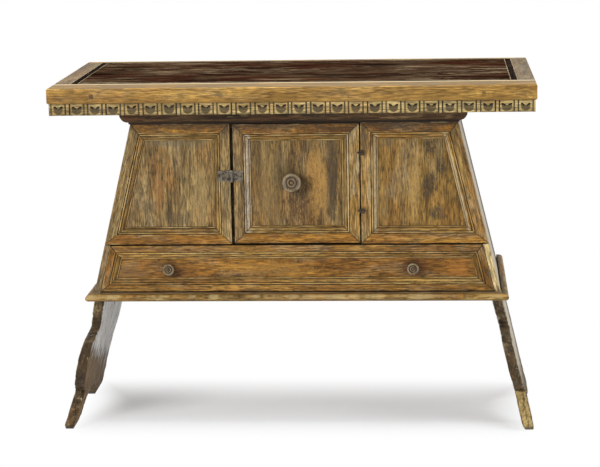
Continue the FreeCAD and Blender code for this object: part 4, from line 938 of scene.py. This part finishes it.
def cut_depth(travelled, up, pitch, seed):
    """Depth of the carving and the shade painted into it; depth, x across the cell and v up it are in
    millimetres.

    The tongue is where x is within a half-round foot and v is under a top line that dips in the middle. It is
    a shallow scoop, 1.4 to 2.4 deep, that drops to 5 in a stop cut just under the top line. The grooves are
    1.6 deep beside each bar. Outside the rounded corners of the cell the ground is 1 deep.
    """
    draw = np.random.default_rng(seed)
    cell = np.floor(travelled / pitch).astype(int)
    cells = cell.max() + 1
    shift, wide, tall, deep = (draw.normal(0, size, cells)[cell] for size in (0.6, 0.05, 0.6, 0.15))
    x = ((travelled / pitch) % 1 - 0.5) * pitch * MILLIMETRES + shift
    v = up * MILLIMETRES
    off = np.abs(x)
    half = 11.8 * (1 + wide)
    foot = np.sqrt(np.clip(1 - (np.clip(12.5 - v, 0, None) / 10.2) ** 2, 0, 1))
    side = soft_step(half * foot - off, 0.0, 1.8)
    top_line = 20.2 + tall + 1.2 * (x / half) ** 2 - 3.6 * np.exp(-(x / 4.6) ** 4)
    below = top_line - v
    under = soft_step(below, 0.0, 0.7)
    scoop = (1.4 + 1.0 * np.clip(v / 18.0, 0, 1)) * (1 - 0.2 * (x / half) ** 2)
    stop_cut = 2.6 * (1 + deep) * np.exp(-np.clip(below, 0, None) / 2.4) * soft_step(off, 1.0, 4.0)
    tongue = side * under * (scoop + stop_cut)
    groove = 1 - soft_step(np.abs(off - 16.6), 0.5, 1.2)
    low_corner = np.hypot(np.clip(off - 7.5, 0, None), np.clip(7.5 - v, 0, None))
    ground = np.maximum(soft_step(off, 13.2, 14.2) * 0.7, soft_step(low_corner, 6.2, 7.2))
    ground = ground * (1 - soft_step(off, 17.6, 18.2))
    tool_marks = 0.3 * (1 + hills(x / 1.6 + 40 * cell, v / 5.0, seed + 1)) / 2
    horns = np.exp(-(np.clip(below, 0, None) / 3.4) ** 2) * soft_step(off, 1.5, 5.0)
    # Painted shade: dark in the tongue, darkest under the horns, less in the grooves and least on the ground.
    painted_shade = np.maximum(side * under * (0.4 + 0.6 * horns), 0.75 * groove)
    painted_shade = np.maximum(painted_shade, 0.3 * ground)
    return np.maximum(tongue, np.maximum(1.6 * groove, ground)) + tool_marks, painted_shade


def carved_strip(word, origin, along, outward, length, cells, mitres, seed):
    """Points are origin + along * s + up * v - outward * depth; the back is drawn in where it is mitred."""
    origin, along, outward = (np.array(vector, float) for vector in (origin, along, outward))
    count = cells * COLUMNS_PER_CELL + 1
    travelled = np.linspace(0, length, count)[:, None]
    up = np.linspace(0, STRIP_HEIGHT, ROWS_UP)[None, :]
    depth, painted_shade = cut_depth(np.clip(travelled, 0, length * 0.99999), up, length / cells, seed)
    depth /= MILLIMETRES
    # The lowest 1.5 mm are worn back, here more and there less.
    depth += 0.0012 * np.clip(1 - up / 0.0015, 0, 1) * (1 + hills(travelled / 0.01, up * 0, seed + 2))
    back = travelled + STRIP_THICK * (mitres[0] * (1 - travelled / length) - mitres[1] * travelled / length)
    s = np.concatenate([np.broadcast_to(travelled, depth.shape), back, back], axis=1)
    v = np.concatenate([np.broadcast_to(up, depth.shape), 0 * back + STRIP_HEIGHT, 0 * back], axis=1)
    d = np.concatenate([depth, 0 * back + STRIP_THICK, 0 * back + STRIP_THICK], axis=1)
    points = origin + along * s[..., None] + np.array((0, 0, 1.0)) * v[..., None] - outward * d[..., None]
    uv = np.stack([s, v + d], axis=-1).reshape(-1, 2)
    solid = f"carved_strip_{word}"
    piece = piece_from(
        f"gouged_strip_{word}", points.reshape(-1, 3), tube_faces(count, ROWS_UP + 2), "case", CARVED,
        "carved_walnut", uv, solid, cut=np.concatenate([painted_shade, 0 * back, 0 * back], axis=1))
    print(solid, "has", len(piece.data.polygons), "faces")


def painted_cut_shade(tree, plain, along, colour):
    """Painted shade in the cuts: grey-brown, darker in the stop cuts, by the strip's own value."""
    cut = own_value(tree, "cut")
    colour = mixed(tree, spread(tree, cut, 0.05, 0.42, 0.0, 0.85), colour, (0.06, 0.044, 0.023))
    return mixed(tree, spread(tree, cut, 0.42, 0.66), colour, (0.006, 0.004, 0.003))


CARVED = walnut(
    "carved walnut", "run", ((0.24, 0.16, 0.058), (0.38, 0.27, 0.102), (0.5, 0.368, 0.15)), patch=0.3,
    warmth=0.35, flecks=0.2, blotch=0.12, worn=(0.6, 0.465, 0.22), grime_reach=0.004, edge_radius=0.0012,
    place=3.3, extra=painted_cut_shade)
carved_strip("front", (-0.546, -0.276, STRIP_LOW), (1, 0, 0), (0, -1, 0), 1.092, 26, (1, 1), 5)
carved_strip("right", (0.546, -0.276, STRIP_LOW), (0, 1, 0), (1, 0, 0), 0.552, 13, (1, 0), 6)
carved_strip("left", (-0.546, 0.276, STRIP_LOW), (0, -1, 0), (-1, 0, 0), 0.552, 13, (0, 1), 7)

# %% [markdown]
# ## The worn planks
# Each end of the cabinet is one leaning plank that becomes a shaped leg. Four centuries have rounded its
# edges. The solid has sharp ones, so a copy is built again from small cubes of space, which rounds every edge
# when it is smoothed. Then small hills push the surface in, most of all near the floor. Five values per point
# say where the wood is brown, pale with painted light, bleached with a painted sheen, dark, or bare. They go
# by which way a point faces, inwards, forwards or outwards, and by its height, so that inside the brown foot
# gives way to the pale of painted light. Dark is wax on the front edge, and darker towards the back of the
# outer face.

# %% Wear the planks
CUBE = 0.0032
SOLE, TOE, TOE_SHRINK = 0.003, 0.016, 0.28
# Height, width and depth of the hills of each kind, and how much deeper the gnawed ones are at the floor.
BROAD, FINE, GNAWED = (0.045, 0.03, 0.0006), (0.012, 0.007, 0.0003), (0.018, 0.015, 0.001)
GNAWED_AT_FLOOR = 0.004


def worn_plank(word, side, dark, bare, seed):
    """The plank rebuilt from cubes, smoothed, and pushed in along its normals by hills.

    In its last 16 mm each foot is drawn in towards the middle of its sole by 0.28 * (1 - height / 16 mm)^2.
    dark and bare say how strongly the front edge shows each.
    """
    solid = f"{word}_cheek"
    low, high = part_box(solid)
    piece = nodes[solid].copy()
    piece.data = nodes[solid].data.copy()
    piece.name = piece.data.name = f"worn_{word}_plank"
    for title in ("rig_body", "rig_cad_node"):  # marks of the solid, which the new piece isn't
        del piece[title]
    piece.parent = None
    scene.collection.objects.link(piece)
    weld = piece.modifiers.new("weld", "WELD")
    weld.merge_threshold = 0.00001
    cubes = piece.modifiers.new("cubes", "REMESH")
    cubes.mode, cubes.voxel_size = "VOXEL", CUBE
    rounding = piece.modifiers.new("rounding", "SMOOTH")
    rounding.factor, rounding.iterations = 0.5, 5
    bpy.context.view_layer.update()
    mesh = bpy.data.meshes.new_from_object(piece.evaluated_get(bpy.context.evaluated_depsgraph_get()))
    piece.modifiers.clear()
    piece.data = mesh
    count = len(mesh.vertices)
    points, normals = np.empty(count * 3), np.empty(count * 3)
    mesh.vertices.foreach_get("co", points)
    mesh.vertices.foreach_get("normal", normals)
    points, normals = points.reshape(-1, 3), normals.reshape(-1, 3)
    x, y, z = points.T
    broad = hills(z / BROAD[0] + 9, y / BROAD[1], seed)
    fine = hills(z / FINE[0], (y + x) / FINE[1], seed + 1)
    gnawed = np.clip(hills(z / GNAWED[0] + 31, y / GNAWED[1], seed + 2) - 0.2, 0, 1)
    near_floor = np.clip(1 - z / 0.12, 0, 1)
    deep = GNAWED[2] + GNAWED_AT_FLOOR * near_floor
    inwards = BROAD[2] * (1 + broad) + FINE[2] * (1 + fine) + deep * gnawed
    # Nothing moves above 0.3 m, where the case's pieces meet the plank, or on the floor itself.
    inwards *= np.clip((0.3 - z) / 0.02, 0, 1) * np.clip(z / 0.004, 0, 1)
    points = np.clip(points - normals * inwards[:, None], np.array(low), np.array(high))
    for foot in (points[:, 1] < 0, points[:, 1] >= 0):
        sole = points[foot & (z < SOLE), :2].mean(axis=0)
        toe = foot & (z < TOE)
        shrink = 1 - TOE_SHRINK * (1 - z[toe, None] / TOE) ** 2
        points[toe, :2] = sole + (points[toe, :2] - sole) * shrink
    facing_in = soft_step(-side * normals[:, 0], 0.4, 0.8)
    facing_front = soft_step(-normals[:, 1], 0.3, 0.7)
    facing_out = soft_step(side * normals[:, 0], 0.4, 0.8)
    behind = soft_step(points[:, 1], 0.0, 0.19)
    level = z + 0.32 * points[:, 1]  # the brown foot reaches higher at the front
    above_foot = soft_step(level, 0.08, 0.165)
    waxed = soft_step(z, 0.06, 0.1) * (1 - soft_step(z, 0.22, 0.29))
    mesh.vertices.foreach_set("co", points.ravel())
    # pale is painted light on the inward face above the foot and on the front edge above the nosing; bleached
    # is bleached wood with a painted sheen on the front of the outer face; dark is wax on the front edge, and
    # darker towards the back of the outer face.
    finish_mesh(
        mesh,
        brown=facing_in * (1 - above_foot),
        pale=facing_in * above_foot + 0.45 * facing_front * soft_step(z, 0.31, 0.33),
        bleached=1.3 * facing_out * soft_step(z, 0.0, 0.24) * (1 - behind),
        dark=facing_front * waxed * dark + 0.8 * facing_out * behind,
        bare=facing_front * (1 - soft_step(z, 0.07, 0.1)) * bare,
    )
    mesh.update()
    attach(piece, "case")
    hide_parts(solid)
    print(piece.name, "has", len(mesh.polygons), "faces")


worn_plank("left", -1, 1.0, 0.0, 21)
worn_plank("right", 1, 0.48, 1.0, 25)

# %% [markdown]
# ## The turned knobs
# A knob comes off the lathe, so it is a profile swung round an axis. The profile is given from the middle of
# its face outwards and back to the board: a boss, ring after ring, a rounded rim, then the waist. Each point
# is a radius and a height above the board, both as shares of the knob's own radius and reach, and its crest
# value.

# %% Turn the knobs
# On the beads and the rim a crest of 1 is worn pale, partly as a painted highlight; the grooves at -1 take
# grime and painted shade.
KNOB_PROFILE = np.array([
    (0, 0.93, 0.7), (0.05, 0.935, 0.6), (0.1, 0.925, 0.2), (0.15, 0.9, -0.4), (0.19, 0.86, -0.9),
    (0.23, 0.845, -1), (0.28, 0.87, -0.5), (0.34, 0.93, 0.5), (0.4, 0.95, 1), (0.46, 0.93, 0.4),
    (0.5, 0.89, -0.6), (0.54, 0.885, -1), (0.6, 0.92, -0.5), (0.68, 0.975, 0.2), (0.76, 1, 0.7),
    (0.84, 0.995, 1), (0.92, 0.96, 0.9), (0.97, 0.9, 0.5), (1, 0.82, 0.1), (0.99, 0.74, -0.2),
    (0.94, 0.66, -0.5), (0.86, 0.6, -0.8), (0.74, 0.54, -0.9), (0.62, 0.47, -0.9), (0.54, 0.38, -0.9),
    (0.5, 0.28, -0.8), (0.52, 0.18, -0.8), (0.58, 0.1, -0.8), (0.62, 0.04, -0.9), (0.62, 0, -1),
])
BOARD_FACE = -0.181


def turned(name, centre, radius, reach, body, material, steps=4, columns=72):
    """Profile swung round Y: x = r cos t, z = r sin t, y = -height; each stretch is split and eased."""
    knots = np.arange(len(KNOB_PROFILE))
    places = np.linspace(0, knots[-1], knots[-1] * steps + 1)
    shares = np.stack([np.interp(places, knots, KNOB_PROFILE[:, axis]) for axis in range(3)], axis=1)
    shares[1:-1] = 0.5 * shares[1:-1] + 0.25 * (shares[:-2] + shares[2:])
    shares[0, 0] = 0.004  # the first ring is small but open, and a cap closes it
    angle = np.linspace(0, 2 * math.pi, columns, endpoint=False)
    rings, heights = shares[:, :1] * radius, shares[:, 1:2] * reach
    points = np.stack([
        centre[0] + rings * np.cos(angle), centre[1] - heights + 0 * angle, centre[2] + rings * np.sin(angle),
    ], axis=-1).reshape(-1, 3)
    piece_from(f"turned_{name}", points, tube_faces(len(shares), columns), body, material, "turned_walnut",
               points[:, [2, 0]], name, crest=np.repeat(shares[:, 2], columns))


KNOB_WOOD = walnut(
    "turned walnut", "run", ((0.06, 0.041, 0.02), (0.1, 0.071, 0.037), (0.145, 0.107, 0.058)),
    worn=(0.275, 0.218, 0.128), grime_reach=0.006, patch=0.2, warmth=0.2, flecks=0.1, bump=0.15,
    gloss=(0.35, 0.5), specular=0.4, edge_radius=0.001, wear=0.9, place=2.2,
)
for name, body in (("door_knob", "door"), ("drawer_knob_left", "drawer"), ("drawer_knob_right", "drawer")):
    low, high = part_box(name)
    centre = ((low.x + high.x) / 2, BOARD_FACE, (low.z + high.z) / 2)
    radius, reach = (high.x - low.x) / 2 * 0.998, BOARD_FACE - low.y - 0.0001  # just inside the solid's box
    turned(name, centre, radius, reach, body, KNOB_WOOD)
    print(name, "radius", round(radius * MILLIMETRES, 1), "mm, reach", round(reach * MILLIMETRES, 1), "mm")

# %% [markdown]
# ## Light and floor
# The room is a plain white sweep. A large soft lamp stands to the left and in front, a weaker one to the
# right, and one above. To the camera the floor is white, except in a soft-edged band under the cabinet, where
# its own shade shows.

# %% World, floor and lamps
def lamp(name, place, aim, size, watts):
    """A square soft lamp at place that faces aim."""
    light = bpy.data.lights.new(name, "AREA")
    light.energy, light.size = watts, size
    stand = bpy.data.objects.new(name, light)
    scene.collection.objects.link(stand)
    stand.location = place
    stand.rotation_mode = "QUATERNION"
    stand.rotation_quaternion = (Vector(aim) - Vector(place)).to_track_quat("-Z", "Y")


lamp("key lamp", (-2.6, -3.2, 1.9), (0.0, 0.0, 0.45), 1.8, 118.0)
lamp("side lamp", (3.4, -0.8, 1.3), (0.2, 0.0, 0.4), 1.8, 58.0)
lamp("top lamp", (0.0, 0.0, 3.0), (0.0, 0.0, 0.8), 1.5, 70.0)

WHITE = (1.0, 1.0, 1.0)
ROOM_LIGHT = 0.36
world = bpy.data.worlds.new("white room")
scene.world = world
world.use_nodes = True
tree = world.node_tree
rays = wired(tree, "LightPath").outputs
seen = maths(tree, "MAXIMUM", rays["Is Camera Ray"], maths(
    tree, "MAXIMUM", rays["Is Glossy Ray"], rays["Is Transmission Ray"]))
strength = spread(tree, seen, 0.0, 1.0, ROOM_LIGHT, 1.0)
fill(tree, tree.nodes["Background"], {"Color": WHITE, "Strength": strength})

FLOOR_HALF = 14.0
FLOOR_GREY, FLOOR_GLOW = (0.77, 0.79, 0.81), 0.24
# Middle of the shaded band, then how far from it the shade is full and how far from it the shade is gone.
BAND = {"X": (0.01, 0.42, 0.56), "Y": (-0.05, 0.03, 0.31)}
floor_mesh = bpy.data.meshes.new("floor")
around = ((-1, -1), (1, -1), (1, 1), (-1, 1))
floor_mesh.from_pydata([(x * FLOOR_HALF, y * FLOOR_HALF, 0) for x, y in around], [], [(0, 1, 2, 3)])
floor = bpy.data.objects.new("floor", floor_mesh)
scene.collection.objects.link(floor)

paint, tree, shader = new_material("white floor")
fill(tree, shader, {"Base Color": FLOOR_GREY, "Roughness": 0.9, "Specular IOR Level": 0.0})
rays = wired(tree, "LightPath").outputs
seen = maths(tree, "MAXIMUM", rays["Is Camera Ray"], rays["Is Glossy Ray"])
glow = wired(tree, "Emission", {"Color": WHITE, "Strength": FLOOR_GLOW}).outputs[0]
shaded = wired(tree, "AddShader", {0: shader.outputs[0], 1: glow}).outputs[0]
far_white = wired(tree, "Emission", {"Color": WHITE, "Strength": 1.0}).outputs[0]
place = wired(tree, "SeparateXYZ", {0: wired(tree, "TexCoord").outputs["Object"]}).outputs
bright = [
    spread(tree, maths(tree, "ABSOLUTE", maths(tree, "SUBTRACT", place[axis], middle)), full, gone,
           interpolation_type="SMOOTHSTEP")
    for axis, (middle, full, gone) in BAND.items()
]
to_camera = wired(tree, "MixShader", {0: maths(tree, "MAXIMUM", *bright), 1: shaded, 2: far_white}).outputs[0]
show = wired(tree, "MixShader", {0: seen, 1: shader.outputs[0], 2: to_camera}).outputs[0]
tree.links.new(show, tree.nodes["Material Output"].inputs["Surface"])
floor_mesh.materials.append(paint)

scene.view_settings.view_transform = "Standard"  # white stays white
print("room ready")
